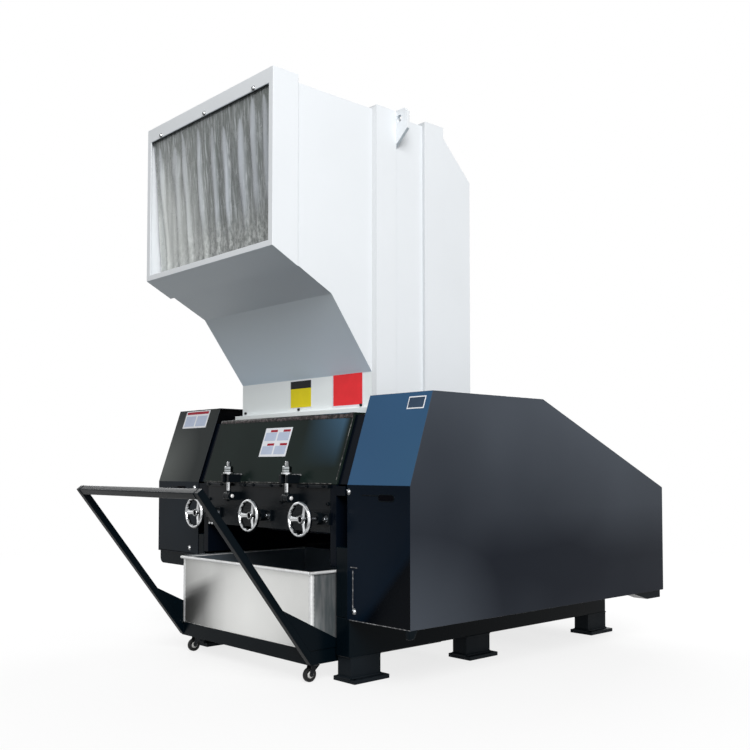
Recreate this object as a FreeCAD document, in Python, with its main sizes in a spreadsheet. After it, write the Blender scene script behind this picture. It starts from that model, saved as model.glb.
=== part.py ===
"""Plastic crusher (granulator) with a pull-out collecting trolley.

The pieces are drawn in machine coordinates: X to the right seen from the front, Y from the
front plane of the side guards towards the rear, Z up from the floor. The frame's origin is
on the floor, under the middle of the whole machine. All sizes are in millimetres.
"""
import FreeCAD, Part
import os
import Sketcher

Vector = FreeCAD.Vector
doc = FreeCAD.newDocument("plastic_crusher")
dims = doc.addObject("Spreadsheet::Sheet", "dims")

SIZES = [
    # base frame
    ("frame_inner", 508, "half width between the two base rails"),
    ("rail_width", 85, "base rails across"),
    ("frame_front", 3, "front end of rails and pedestals behind the guards' front"),
    ("frame_rear", 1838, "rear end of the rails"),
    ("rail_bottom", 105, "underside of the base rails"),
    ("rail_height", 160, "base rails"),
    ("foot_length", 165, "foot column along the rail"),
    ("foot_setback", 10, "front foot behind the rail's front end"),
    ("middle_foot_front", 715, "front face of the middle foot"),
    ("foot_plate_side", 25, "foot plate beside the column"),
    ("foot_plate_front", 3, "foot plate in front of the column"),
    ("foot_plate_rear", 28, "foot plate behind the column"),
    ("foot_plate_thickness", 18, "foot plate"),
    ("beam_length", 85, "cross beams along Y"),
    ("beam_trolley_gap", 40, "middle cross beam behind the trolley"),
    ("pedestal_height", 289, "pedestals on the rails"),
    # cutting chamber, lower half
    ("side_plate", 38, "side plates of the lower chamber"),
    ("chamber_rear", 863, "rear face of the chamber"),
    ("chamber_lap", 84, "side plates down beside the pedestals"),
    ("chamber_height", 343, "lower chamber"),
    ("rear_wall_thickness", 40, "rear walls of the chamber"),
    ("front_bar_height", 113, "bar that carries the clamps"),
    ("front_bar_thickness", 40, "front bar"),
    ("door_height", 89.5, "screen door"),
    ("door_thickness", 32, "screen door"),
    ("door_gap", 0.5, "screen door to chamber sides and front bar"),
    ("spacer_drop", 7, "guard spacer below the chamber joint"),
    ("spacer_height", 40, "guard spacer"),
    ("spacer_width", 57, "guard spacer beyond the chamber side"),
    ("spacer_depth", 60, "guard spacer along Y"),
    ("rotor_centre_depth", 430, "screen axis behind the front plane"),
    ("rotor_drop", 13, "screen axis below the chamber joint"),
    ("screen_radius", 235, "inside of the curved screen"),
    ("screen_thickness", 8, "screen plate"),
    # cutting chamber, upper half
    ("upper_inset", 20, "upper chamber's inside within the rails"),
    ("upper_plate", 84, "upper side plates"),
    ("upper_height", 307, "upper chamber"),
    ("lid_overlap", 22, "lid over the upper side plates"),
    ("lid_skin", 13, "lid plate, measured along Y"),
    ("lid_ledge_lap", 31, "lid's ledge behind the neck's front"),
    ("lid_ledge_thickness", 12, "lid's ledge"),
    # hopper
    ("flange_thickness", 26, "hopper's foot flange"),
    ("flange_margin", 28, "foot flange beyond the duct"),
    ("duct_sheet", 4, "hopper sheet"),
    ("duct_top", 2470, "top of the duct"),
    ("chamfer_length", 210, "slanted rear top along Y"),
    ("chamfer_height", 200, "slanted rear top"),
    ("neck_front", 219, "front face of the vertical neck"),
    ("neck_height", 157, "vertical neck"),
    ("knee_reach", 231, "knee of the underside in front of the neck"),
    ("knee_rise", 315, "knee of the underside above the neck"),
    ("rim_reach", 317, "front face of the mouth rim in front of the knee"),
    ("rim_rise", 153, "lower front edge of the rim above the knee"),
    ("rim_depth", 130, "mouth rim along Y"),
    ("rim_proud", 30, "rim above the duct"),
    ("rim_wall", 12, "rim around the sides and underside of the duct"),
    ("rim_face_thickness", 6, "front plate of the rim"),
    ("mouth_side_band", 30, "face band at each side of the mouth"),
    ("mouth_bottom_band", 25, "face band under the mouth"),
    ("mouth_top_band", 64, "face band over the mouth"),
    ("band_width", 135, "raised stiffener bands"),
    ("rear_band_setback", 328, "front edge of the rear band to the duct's rear"),
    ("band_proud", 18, "bands stand out from the duct"),
    ("band_bottom_gap", 6, "bands above the foot flange"),
    ("ear_thickness", 16, "lifting ears"),
    ("ear_reach", 84, "lifting ears beyond the duct side"),
    ("ear_rise", 22, "lifting ears above the duct top"),
    ("ear_length", 168, "lifting ears down the duct side"),
    ("ear_edge", 95, "outer edge of the lifting ears"),
    ("ear_bevel", 18, "bevelled corner of the lifting ears"),
    ("ear_hole_radius", 16, "hole of the lifting ears"),
    ("ear_hole_reach", 34, "hole of the lifting ears beyond the duct side"),
    ("ear_hole_drop", 41, "hole of the lifting ears below their top"),
    ("curtain_thickness", 3, "curtain strips"),
    ("curtain_setback", 45, "curtain behind the rim's front face"),
    ("curtain_strips", 9, "number of strips"),
    ("curtain_strip_gap", 4, "gap between strips"),
    ("curtain_bottom_gap", 8, "curtain above the mouth's lower edge"),
    # guards
    ("guard_rise", 68, "top of both guards above the upper chamber"),
    ("slope_run", 127, "depth of the slanted front panels"),
    ("guard_sheet", 3, "front skin of the guards"),
    ("right_skin_reach", 11, "right guard's skin over the frame"),
    ("right_guard_width", 358, "right guard beside the frame"),
    ("right_guard_lap", 5, "right guard down beside the rail"),
    ("right_guard_slant_start", 832, "rear end of the right guard's flat top"),
    ("right_guard_rear_gap", 15, "right guard's rear face to the rails' rear end"),
    ("right_guard_rear_drop", 405, "upper end of the right rear face below the top"),
    ("left_skin_reach", 34, "left guard's skin over the frame"),
    ("left_guard_width", 356, "left guard beside the frame"),
    ("left_guard_lap", 106, "left guard down beside the pedestal"),
    ("left_guard_slant_start", 700, "rear end of the left guard's flat top"),
    ("left_guard_overhang", 97, "left guard behind the chamber"),
    ("left_guard_rear_drop", 168, "upper end of the left rear face below the top"),
    ("tray_height", 65, "tray under the left guard"),
    ("tray_inset", 8, "tray inside the guard's faces"),
    ("tray_corner", 30, "round lower edge of the tray"),
    ("pan_height", 38, "drip pan under the right guard"),
    ("pan_length", 250, "drip pan along Y"),
    ("pan_width", 80, "drip pan along X"),
    ("pan_taper", 130, "slanted front end of the drip pan"),
    ("pan_inset", 12, "drip pan inside the guard's faces"),
    # motor
    ("motor_radius", 200, "motor housing"),
    ("motor_centre_depth", 1450, "motor axis behind the front plane"),
    ("motor_floor_gap", 25, "motor housing above its plate"),
    ("motor_shaft_length", 163, "motor shaft up to the right guard"),
    ("motor_length", 690, "motor housing"),
    ("motor_cover_length", 110, "fan cover"),
    ("motor_cover_step", 6, "fan cover outside the housing"),
    ("motor_shaft_radius", 32, "motor shaft"),
    ("motor_foot_width", 360, "motor feet along Y"),
    ("motor_foot_height", 40, "motor feet"),
    ("motor_foot_inset", 60, "motor feet inside the housing's ends"),
    ("motor_plate_thickness", 20, "plate under the motor"),
    ("motor_plate_length", 540, "plate under the motor along Y"),
    ("terminal_box_width", 160, "terminal box along X"),
    ("terminal_box_length", 130, "terminal box along Y"),
    ("terminal_box_rise", 60, "terminal box above the housing"),
    # handwheels
    ("wheel_inset", 60, "outer handwheel axes inside the chamber sides"),
    ("wheel_drop", 33, "handwheel axes below the front bar"),
    ("wheel_reach", 115, "outer handwheels' rims in front of the frame"),
    ("middle_wheel_reach", 86, "middle handwheel's rim in front of the frame"),
    ("wheel_radius", 67, "middle of the handwheel's rim section"),
    ("wheel_rim_section", 8, "radius of the rim section"),
    ("wheel_hub_radius", 17, "handwheel hub"),
    ("wheel_hub_length", 32, "handwheel hub"),
    ("wheel_hub_bore", 9, "open bore at the hub's front"),
    ("wheel_bore_depth", 12, "depth of the open bore"),
    ("spoke_width", 16, "spokes across"),
    ("spoke_thickness", 9, "spokes along the axis"),
    ("screw_radius", 9, "handwheel screw"),
    ("screw_clearance", 0.3, "screw in its boss"),
    ("boss_radius", 26, "screw boss on the door"),
    ("boss_length", 34, "screw boss in front of the door"),
    # swing bolt clamps
    ("clamp_offset", 227, "swing bolts from the middle"),
    ("clamp_reach", 43, "swing bolt axis in front of the frame"),
    ("pivot_drop", 63, "swing bolt pivot below the chamber joint"),
    ("bolt_radius", 10, "swing bolt shank"),
    ("bolt_end", 25, "swing bolt above its nut"),
    ("eye_radius", 19, "eye of the swing bolt"),
    ("eye_cheek", 1, "eye of the swing bolt wider than the shank, on each side"),
    ("pin_radius", 8, "pivot pin"),
    ("pin_clearance", 0.3, "eye on its pin"),
    ("eye_side_gap", 1, "eye to clevis ears"),
    ("clevis_ear_width", 12, "clevis ears along X"),
    ("clevis_radius", 19, "round front of the clevis ears"),
    ("pin_head_length", 5, "pin ends beyond the ears"),
    ("lug_rise", 2, "slotted lugs above the chamber joint"),
    ("lug_height", 37, "slotted lugs"),
    ("lug_half_width", 32, "half width of the lugs"),
    ("lug_nose", 22, "lugs in front of the swing bolt"),
    ("slot_clearance", 5, "swing bolt in the lug's slot"),
    ("washer_gap", 3, "washer above the lug"),
    ("washer_radius", 26, "washer of the swing bolt"),
    ("washer_thickness", 8, "washer of the swing bolt"),
    ("nut_radius", 18, "nut of the swing bolt"),
    ("nut_height", 24, "nut of the swing bolt"),
    # trolley
    ("trolley_side_gap", 13, "trolley base to rail"),
    ("trolley_reach", 129, "front face of bin and trolley in front of the frame"),
    ("trolley_length", 776, "trolley base along Y"),
    ("trolley_tube", 60, "tubes of the trolley base"),
    ("bin_side_gap", 14, "bin wall to rail"),
    ("bin_chamber_gap", 13, "top of the bin below the chamber"),
    ("bin_sheet", 3, "bin sheet"),
    ("bin_front_gap", 8, "bin front wall behind the trolley's front"),
    ("bin_rear_gap", 20, "bin rear wall before the trolley's rear"),
    ("lip_width", 15, "outward lip at the bin's front and rear"),
    ("side_lip_width", 7, "outward lip at the bin's sides"),
    ("lip_height", 10, "rolled lip of the bin"),
    ("handle_reach", 520, "middle of the handle bar in front of the trolley"),
    ("handle_height", 784, "middle of the handle bar above the floor"),
    ("handle_foot_rise", 27, "middle of the arms' cut ends above the base's underside"),
    ("handle_tube", 30, "square tube of the handle"),
    ("handle_outset", 7, "outer faces of the arms outside the gussets"),
    ("gusset_thickness", 6, "gusset plates"),
    ("gusset_reach", 144, "upper corner of the gussets in front of the trolley"),
    ("gusset_length", 211, "rear corner of the gussets behind the trolley's front"),
    ("caster_radius", 30, "caster wheels"),
    ("caster_width", 22, "caster wheels"),
    ("caster_trail", 22, "wheel axle behind the swivel axis"),
    ("caster_top_gap", 9.7, "wheel to fork crown"),
    ("caster_plate", 56, "caster mounting plates"),
    ("caster_plate_thickness", 4, "caster mounting plates"),
    ("caster_cheek", 3, "fork cheeks"),
    ("caster_cheek_gap", 2, "wheel to cheek"),
    ("caster_cheek_edge", 5, "fork cheeks around the axle"),
    ("caster_crown", 4, "fork crown"),
    ("caster_crown_length", 44.8, "fork crown along Y"),
    ("caster_axle_radius", 5, "caster axles"),
    ("kingpin_radius", 6, "caster kingpins"),
    ("caster_axle_clearance", 0.3, "wheel on its axle"),
    ("caster_swivel_gap", 0.3, "mounting plate to fork crown"),
    ("front_caster_inset", 48, "front casters inside the base's sides"),
    ("front_caster_setback", 60, "front casters' swivel axis behind the base's front"),
    ("rear_caster_inset", 310, "rear casters inside the base's sides"),
    ("rear_caster_setback", 32, "rear casters' swivel axis before the base's rear"),
]

for row, (alias, size, meaning) in enumerate(SIZES, start=1):
    dims.set(f"A{row}", meaning)
    dims.set(f"B{row}", str(size))
    dims.setAlias(f"B{row}", alias)
doc.recompute()

# Places that follow from the sizes, from the floor up and from the rails inwards and outwards
PLACES = [
    ("rail_top", "dims.rail_bottom + dims.rail_height"),
    ("pedestal_top", "derived.rail_top + dims.pedestal_height"),
    ("chamber_bottom", "derived.pedestal_top - dims.chamber_lap"),
    ("chamber_split", "derived.chamber_bottom + dims.chamber_height"),
    ("front_bar_bottom", "derived.chamber_split - dims.front_bar_height"),
    ("door_bottom", "derived.front_bar_bottom - dims.door_gap - dims.door_height"),
    ("spacer_top", "derived.chamber_split - dims.spacer_drop"),
    ("spacer_bottom", "derived.spacer_top - dims.spacer_height"),
    ("rotor_centre_height", "derived.chamber_split - dims.rotor_drop"),
    ("flange_bottom", "derived.chamber_split + dims.upper_height"),
    ("flange_top", "derived.flange_bottom + dims.flange_thickness"),
    ("neck_top", "derived.flange_top + dims.neck_height"),
    ("knee_height", "derived.neck_top + dims.knee_rise"),
    ("rim_bottom", "derived.knee_height + dims.rim_rise"),
    ("rim_top", "dims.duct_top + dims.rim_proud"),
    ("chamfer_bottom", "dims.duct_top - dims.chamfer_height"),
    ("guard_top", "derived.flange_bottom + dims.guard_rise"),
    ("right_guard_bottom", "derived.rail_top - dims.right_guard_lap"),
    ("right_guard_rear_height", "derived.guard_top - dims.right_guard_rear_drop"),
    ("left_guard_bottom", "derived.pedestal_top - dims.left_guard_lap"),
    ("left_guard_rear_height", "derived.guard_top - dims.left_guard_rear_drop"),
    ("wheel_height", "derived.front_bar_bottom - dims.wheel_drop"),
    ("pivot_height", "derived.chamber_split - dims.pivot_drop"),
    ("lug_bottom", "derived.chamber_split + dims.lug_rise"),
    ("lug_top", "derived.lug_bottom + dims.lug_height"),
    ("washer_bottom", "derived.lug_top + dims.washer_gap"),
    ("nut_bottom", "derived.washer_bottom + dims.washer_thickness"),
    ("bolt_top", "derived.nut_bottom + dims.nut_height + dims.bolt_end"),
    ("crown_bottom", "2 * dims.caster_radius + dims.caster_top_gap"),
    ("crown_top", "derived.crown_bottom + dims.caster_crown"),
    ("caster_plate_bottom", "derived.crown_top + dims.caster_swivel_gap"),
    ("trolley_bottom", "derived.caster_plate_bottom + dims.caster_plate_thickness"),
    ("trolley_top", "derived.trolley_bottom + dims.trolley_tube"),
    ("handle_foot_height", "derived.trolley_bottom + dims.handle_foot_rise"),
    ("bin_top", "derived.chamber_bottom - dims.bin_chamber_gap"),
    ("frame_outer", "dims.frame_inner + dims.rail_width"),
    ("chamber_inner", "dims.frame_inner - dims.side_plate"),
    ("upper_inner", "dims.frame_inner - dims.upper_inset"),
    ("upper_outer", "derived.upper_inner + dims.upper_plate"),
    ("lid_half_width", "derived.upper_inner + dims.lid_overlap"),
    ("duct_half_width", "derived.upper_inner + dims.duct_sheet"),
    ("right_guard_inner", "derived.frame_outer - dims.right_skin_reach"),
    ("right_guard_outer", "derived.frame_outer + dims.right_guard_width"),
    ("left_guard_inner", "derived.frame_outer - dims.left_skin_reach"),
    ("left_guard_outer", "derived.frame_outer + dims.left_guard_width"),
    ("motor_drive_end", "derived.frame_outer - dims.motor_shaft_length"),
    ("motor_fan_end", "derived.motor_drive_end - dims.motor_length"),
    ("wheel_spacing", "derived.chamber_inner - dims.wheel_inset"),
    ("eye_width", "2 * (dims.bolt_radius + dims.eye_cheek)"),
    ("trolley_half", "dims.frame_inner - dims.trolley_side_gap"),
    ("bin_half", "dims.frame_inner - dims.bin_side_gap"),
    ("gusset_half_width", "derived.bin_half + dims.gusset_thickness"),
    ("handle_half_width", "derived.gusset_half_width + dims.handle_outset"),
    ("front_caster_side", "derived.trolley_half - dims.front_caster_inset"),
    ("rear_caster_side", "derived.trolley_half - dims.rear_caster_inset"),
    ("knee_depth", "dims.neck_front - dims.knee_reach"),
    ("rim_front", "derived.knee_depth - dims.rim_reach"),
    ("lid_ledge_rear", "dims.neck_front + dims.lid_ledge_lap"),
    ("chamfer_start", "dims.chamber_rear - dims.chamfer_length"),
    ("rear_band_start", "dims.chamber_rear - dims.rear_band_setback"),
    ("right_guard_rear", "dims.frame_rear - dims.right_guard_rear_gap"),
    ("left_guard_rear", "dims.chamber_rear + dims.left_guard_overhang"),
    ("pan_rear", "derived.right_guard_rear - dims.pan_inset"),
    ("pan_start", "derived.pan_rear - dims.pan_length"),
    ("wheel_depth", "dims.frame_front - dims.wheel_reach"),
    ("middle_wheel_depth", "dims.frame_front - dims.middle_wheel_reach"),
    ("clamp_depth", "dims.frame_front - dims.clamp_reach"),
    ("lug_front", "derived.clamp_depth - dims.lug_nose"),
    ("trolley_front", "dims.frame_front - dims.trolley_reach"),
    ("trolley_rear", "derived.trolley_front + dims.trolley_length"),
    ("handle_front", "derived.trolley_front - dims.handle_reach"),
    ("gusset_front", "derived.trolley_front - dims.gusset_reach"),
    ("gusset_rear", "derived.trolley_front + dims.gusset_length"),
    ("front_caster_depth", "derived.trolley_front + dims.front_caster_setback"),
    ("rear_caster_depth", "derived.trolley_rear - dims.rear_caster_setback"),
]

derived = doc.addObject("App::VarSet", "derived")
for name, expression in PLACES:
    derived.addProperty("App::PropertyFloat", name)
for name, expression in PLACES:
    derived.setExpression(name, expression)
doc.recompute()

PARTS = []

# Handle arms: they lean forward, so their length and angle come from reach and rise
ARM_REACH = "(derived.trolley_front - derived.handle_front)"
ARM_RISE = "(dims.handle_height - derived.handle_foot_height)"
ARM_LENGTH = f"sqrt({ARM_REACH} ^ 2 + {ARM_RISE} ^ 2)"
BAR_HALF_DEPTH = f"(dims.handle_tube / 2 * ({ARM_REACH} + {ARM_RISE}) / {ARM_LENGTH})"

# Middle of the whole machine, from the guards' outer faces, the handle and the rear feet
MIDDLE_X = "((derived.right_guard_outer - derived.left_guard_outer) / 2)"
MIDDLE_Y = (f"((derived.handle_front - {BAR_HALF_DEPTH} + dims.frame_rear"
            " + dims.foot_plate_rear) / 2)")

# Slanted front of guards and lid: distance along Y for each millimetre of height
SLOPE = "(dims.slope_run / (derived.guard_top - derived.chamber_split))"


def value(expression):
    """The number that an expression on the sheet gives."""
    return float(dims.evalExpression(expression))


def place(piece, x="0", y="0", z="0"):
    """Put a piece that is drawn around a point of the machine into the part's frame."""
    piece.setExpression("Placement.Base.x", f"{x} - {MIDDLE_X}")
    piece.setExpression("Placement.Base.y", f"{y} - {MIDDLE_Y}")
    piece.setExpression("Placement.Base.z", z)


def finish(piece, label, x="0", y="0", z="0"):
    """Name a finished sub-part and put it in its place."""
    piece.Label = label
    place(piece, x, y, z)
    PARTS.append(piece)
    return piece


def side_span(side, inner, outer):
    """Low and high X of something between two distances from the middle line."""
    if side == "right":
        return inner, outer
    return f"-({outer})", f"-({inner})"


def box(name, x, y, z):
    """A plain box between low and high expressions, in machine coordinates."""
    new = doc.addObject("Part::Box", name)
    for size, axis, (low, high) in zip(("Length", "Width", "Height"), "xyz", (x, y, z)):
        new.setExpression(size, f"({high}) - ({low})")
        new.setExpression(f"Placement.Base.{axis}", low)
    return new


def slab(label, x, y, z):
    """A sub-part that is one plain box."""
    return finish(box(label, x, y, z), label, x[0], y[0], z[0])


def rod(name, radius, start, end, y, z):
    """A cylinder along X between two expressions, in machine coordinates."""
    new = doc.addObject("Part::Cylinder", name)
    new.Placement = FreeCAD.Placement(Vector(0, 0, 0), FreeCAD.Rotation(Vector(0, 1, 0), 90))
    new.setExpression("Radius", radius)
    new.setExpression("Height", f"({end}) - ({start})")
    new.setExpression("Placement.Base.x", start)
    new.setExpression("Placement.Base.y", y)
    new.setExpression("Placement.Base.z", z)
    return new


def fused(name, pieces):
    new = doc.addObject("Part::MultiFuse", name)
    new.Shapes = pieces
    return new


def grouped(name, pieces):
    """Solids of one kind that share a node without touching."""
    new = doc.addObject("Part::Compound", name)
    new.Links = pieces
    return new


def body(label, x="0", y="0", z="0"):
    """An empty PartDesign body for a sub-part drawn around the point (x, y, z)."""
    return finish(doc.addObject("PartDesign::Body", label), label, x, y, z)


PLANES = {"X": "YZ_Plane", "Y": "XZ_Plane", "Z": "XY_Plane"}


def sketch_at(owner, name, axis, low, high):
    """A sketch on the plane where a feature along the axis starts.

    The XZ plane faces -Y, so a feature along Y starts at its high end.
    """
    new = owner.newObject("Sketcher::SketchObject", f"{owner.Name}_{name}_sketch")
    plane = next(f for f in owner.Origin.OriginFeatures if f.Role == PLANES[axis])
    new.AttachmentSupport = (plane, "")
    new.MapMode = "FlatFace"
    new.setExpression("AttachmentOffset.Base.z", f"-({high})" if axis == "Y" else low)
    return new


def extrude(owner, name, sketch, low, high, cut):
    """Pad a sketch from low to high, or cut it away over the same stretch."""
    kind = "PartDesign::Pocket" if cut else "PartDesign::Pad"
    new = owner.newObject(kind, f"{owner.Name}_{name}")
    new.Profile = sketch
    new.Reversed = cut
    new.setExpression("Length", f"({high}) - ({low})")
    return new


def add_corners(sketch, corners):
    """A closed outline whose corners are held by expressions."""
    spots = [Vector(value(a), value(b), 0) for a, b in corners]
    first = sketch.GeometryCount
    for index, spot in enumerate(spots):
        sketch.addGeometry(Part.LineSegment(spot, spots[(index + 1) % len(spots)]))
    for index, (across, up) in enumerate(corners):
        line = first + index
        following = first + (index + 1) % len(corners)
        sketch.addConstraint(Sketcher.Constraint("Coincident", line, 2, following, 1))
        for kind, expression in (("DistanceX", across), ("DistanceY", up)):
            size = value(expression)
            number = sketch.addConstraint(Sketcher.Constraint(kind, -1, 1, line, 1, size))
            sketch.setExpression(f"Constraints[{number}]", expression)


def prism(owner, name, axis, span, corners, cut=False):
    """An outline taken from low to high along an axis of the body."""
    low, high = span
    sketch = sketch_at(owner, name, axis, low, high)
    add_corners(sketch, corners)
    return extrude(owner, name, sketch, low, high, cut)


def disc(owner, name, axis, span, centre, radius, cut=False):
    """A circle taken from low to high along an axis of the body."""
    low, high = span
    sketch = sketch_at(owner, name, axis, low, high)
    middle = Vector(value(centre[0]), value(centre[1]), 0)
    sketch.addGeometry(Part.Circle(middle, Vector(0, 0, 1), value(radius)))
    for kind, expression in (("DistanceX", centre[0]), ("DistanceY", centre[1])):
        size = value(expression)
        number = sketch.addConstraint(Sketcher.Constraint(kind, -1, 1, 0, 3, size))
        sketch.setExpression(f"Constraints[{number}]", expression)
    number = sketch.addConstraint(Sketcher.Constraint("Radius", 0, value(radius)))
    sketch.setExpression(f"Constraints[{number}]", radius)
    return extrude(owner, name, sketch, low, high, cut)


def rectangle(across, up):
    """Corners of a rectangle from two low and high pairs."""
    (left, right), (bottom, top) = across, up
    return [(left, bottom), (right, bottom), (right, top), (left, top)]


def bent_sheet(label, points, half_width):
    """A folded sheet: an open outline, thickened to its left and taken across the machine."""
    line = doc.addObject("Sketcher::SketchObject", f"{label}_line")
    line.Placement = FreeCAD.Placement(Vector(0, 0, 0), FreeCAD.Rotation(Vector(1, 1, 1), 120))
    spots = [Vector(value(a), value(b), 0) for a, b in points]
    for index in range(len(spots) - 1):
        line.addGeometry(Part.LineSegment(spots[index], spots[index + 1]))
    for index in range(len(spots) - 2):
        line.addConstraint(Sketcher.Constraint("Coincident", index, 2, index + 1, 1))
    for index, (across, up) in enumerate(points):
        edge, end = (index, 1) if index < len(spots) - 1 else (index - 1, 2)
        for kind, expression in (("DistanceX", across), ("DistanceY", up)):
            size = value(expression)
            number = line.addConstraint(Sketcher.Constraint(kind, -1, 1, edge, end, size))
            line.setExpression(f"Constraints[{number}]", expression)
    face = doc.addObject("Part::Offset2D", f"{label}_face")
    face.Source = line
    face.Mode = "Skin"
    face.Join = "Intersection"
    face.Fill = True
    face.setExpression("Value", "-dims.duct_sheet")
    sheet = doc.addObject("Part::Extrusion", label)
    sheet.Base = face
    sheet.DirMode = "Custom"
    sheet.Dir = Vector(1, 0, 0)
    sheet.Solid = True
    sheet.setExpression("LengthFwd", half_width)
    sheet.setExpression("LengthRev", half_width)
    return finish(sheet, label)


# Base frame


def make_rail(side):
    """Base rail and the pedestal that carries the chamber's side."""
    x = side_span(side, "dims.frame_inner", "derived.frame_outer")
    slab(f"base_rail_{side}", x, ("dims.frame_front", "dims.frame_rear"),
         ("dims.rail_bottom", "derived.rail_top"))
    slab(f"pedestal_{side}", x, ("dims.frame_front", "dims.chamber_rear"),
         ("derived.rail_top", "derived.pedestal_top"))


def make_feet(side):
    """Three box columns with floor plates under one rail."""
    starts = {"front": "dims.frame_front + dims.foot_setback",
              "middle": "dims.middle_foot_front",
              "rear": "dims.frame_rear - dims.foot_length"}
    feet = []
    for spot, start in starts.items():
        name = f"foot_{side}_{spot}"
        end = f"{start} + dims.foot_length"
        column = box(f"{name}_column", side_span(side, "dims.frame_inner", "derived.frame_outer"),
                     (start, end), ("dims.foot_plate_thickness", "dims.rail_bottom"))
        plate_x = side_span(side, "dims.frame_inner - dims.foot_plate_side",
                            "derived.frame_outer + dims.foot_plate_side")
        plate_y = (f"{start} - dims.foot_plate_front", f"{end} + dims.foot_plate_rear")
        plate = box(f"{name}_plate", plate_x, plate_y, ("0", "dims.foot_plate_thickness"))
        feet.append(fused(name, [column, plate]))
    finish(grouped(f"feet_{side}", feet), f"feet_{side}")


def make_cross_beams():
    across = ("-dims.frame_inner", "dims.frame_inner")
    up = ("dims.rail_bottom", "derived.rail_top")
    front = "derived.trolley_rear + dims.beam_trolley_gap"
    middle = box("beam_middle", across, (front, f"{front} + dims.beam_length"), up)
    rear = box("beam_rear", across, ("dims.frame_rear - dims.beam_length", "dims.frame_rear"), up)
    finish(grouped("cross_beams", [middle, rear]), "cross_beams")


# Lower chamber


def make_chamber_side(side):
    """Side plate with the block that carries the guard's front edge."""
    plate = box(f"side_plate_{side}", side_span(side, "derived.chamber_inner", "dims.frame_inner"),
                ("dims.frame_front", "dims.chamber_rear"),
                ("derived.chamber_bottom", "derived.chamber_split"))
    spacer_x = side_span(side, "dims.frame_inner", "dims.frame_inner + dims.spacer_width")
    spacer = box(f"spacer_{side}", spacer_x,
                 ("dims.frame_front", "dims.frame_front + dims.spacer_depth"),
                 ("derived.spacer_bottom", "derived.spacer_top"))
    label = f"chamber_side_{side}"
    finish(fused(label, [plate, spacer]), label)


def make_chamber_rear_wall():
    slab("chamber_rear_wall", ("-derived.chamber_inner", "derived.chamber_inner"),
         ("dims.chamber_rear - dims.rear_wall_thickness", "dims.chamber_rear"),
         ("derived.chamber_bottom", "derived.chamber_split"))


EYE_HALF = "derived.eye_width / 2"
EAR_START = f"{EYE_HALF} + dims.eye_side_gap"
EAR_END = f"{EAR_START} + dims.clevis_ear_width"


def make_front_bar():
    """Bar over the screen door, with a clevis for each swing bolt."""
    bar = body("front_bar")
    back = "dims.frame_front + dims.front_bar_thickness"
    prism(bar, "bar", "Y", ("dims.frame_front", back),
          rectangle(("-derived.chamber_inner", "derived.chamber_inner"),
                    ("derived.front_bar_bottom", "derived.chamber_split")))
    ear_up = ("derived.pivot_height - dims.clevis_radius", "derived.pivot_height + dims.clevis_radius")
    ear_outline = rectangle(("derived.clamp_depth", back), ear_up)
    centre = ("derived.clamp_depth", "derived.pivot_height")
    for clamp, sign in (("left", "-"), ("right", "")):
        middle = f"{sign}dims.clamp_offset"
        ears = {"a": (f"{middle} - ({EAR_END})", f"{middle} - ({EAR_START})"),
                "b": (f"{middle} + {EAR_START}", f"{middle} + {EAR_END}")}
        for ear, x in ears.items():
            name = f"{clamp}_{ear}"
            prism(bar, f"ear_{name}", "X", x, ear_outline)
            disc(bar, f"nose_{name}", "X", x, centre, "dims.clevis_radius")
            disc(bar, f"bore_{name}", "X", x, centre, "dims.pin_radius", cut=True)


def make_pivot_pins():
    reach = f"({EAR_END} + dims.pin_head_length)"
    pins = []
    for clamp, sign in (("left", "-"), ("right", "")):
        middle = f"{sign}dims.clamp_offset"
        pins.append(rod(f"pin_{clamp}", "dims.pin_radius", f"{middle} - {reach}",
                        f"{middle} + {reach}", "derived.clamp_depth", "derived.pivot_height"))
    finish(grouped("pivot_pins", pins), "pivot_pins")


WHEELS = {"left": "-derived.wheel_spacing", "centre": "0", "right": "derived.wheel_spacing"}


def make_screen_door():
    """Door under the front bar, with a bored boss for each handwheel screw."""
    door = body("screen_door")
    back = "dims.frame_front + dims.door_thickness"
    half = "(derived.chamber_inner - dims.door_gap)"
    prism(door, "plate", "Y", ("dims.frame_front", back),
          rectangle((f"-{half}", half),
                    ("derived.door_bottom", "derived.front_bar_bottom - dims.door_gap")))
    front = "dims.frame_front - dims.boss_length"
    for name, x in WHEELS.items():
        centre = (x, "derived.wheel_height")
        disc(door, f"boss_{name}", "Y", (front, back), centre, "dims.boss_radius")
        disc(door, f"bore_{name}", "Y", (front, back), centre,
             "dims.screw_radius + dims.screw_clearance", cut=True)


def make_screen():
    """Half pipe under the rotor, between the chamber sides."""
    x = ("-derived.chamber_inner", "derived.chamber_inner")
    centre = ("dims.rotor_centre_depth", "derived.rotor_centre_height")
    outer_radius = "(dims.screen_radius + dims.screen_thickness)"
    outer = rod("screen_outer", outer_radius, *x, *centre)
    inner = rod("screen_inner", "dims.screen_radius", *x, *centre)
    lower_half = box("screen_lower_half", x,
                     (f"{centre[0]} - {outer_radius}", f"{centre[0]} + {outer_radius}"),
                     (f"{centre[1]} - {outer_radius}", centre[1]))
    pipe = doc.addObject("Part::Cut", "screen_pipe")
    pipe.Base = outer
    pipe.Tool = inner
    half_pipe = doc.addObject("Part::Common", "screen")
    half_pipe.Base = pipe
    half_pipe.Tool = lower_half
    finish(half_pipe, "screen")


# Upper chamber


def slope_at(height):
    """Y of the slanted front plane at a height above the floor."""
    return f"({height} - derived.chamber_split) * {SLOPE}"


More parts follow.
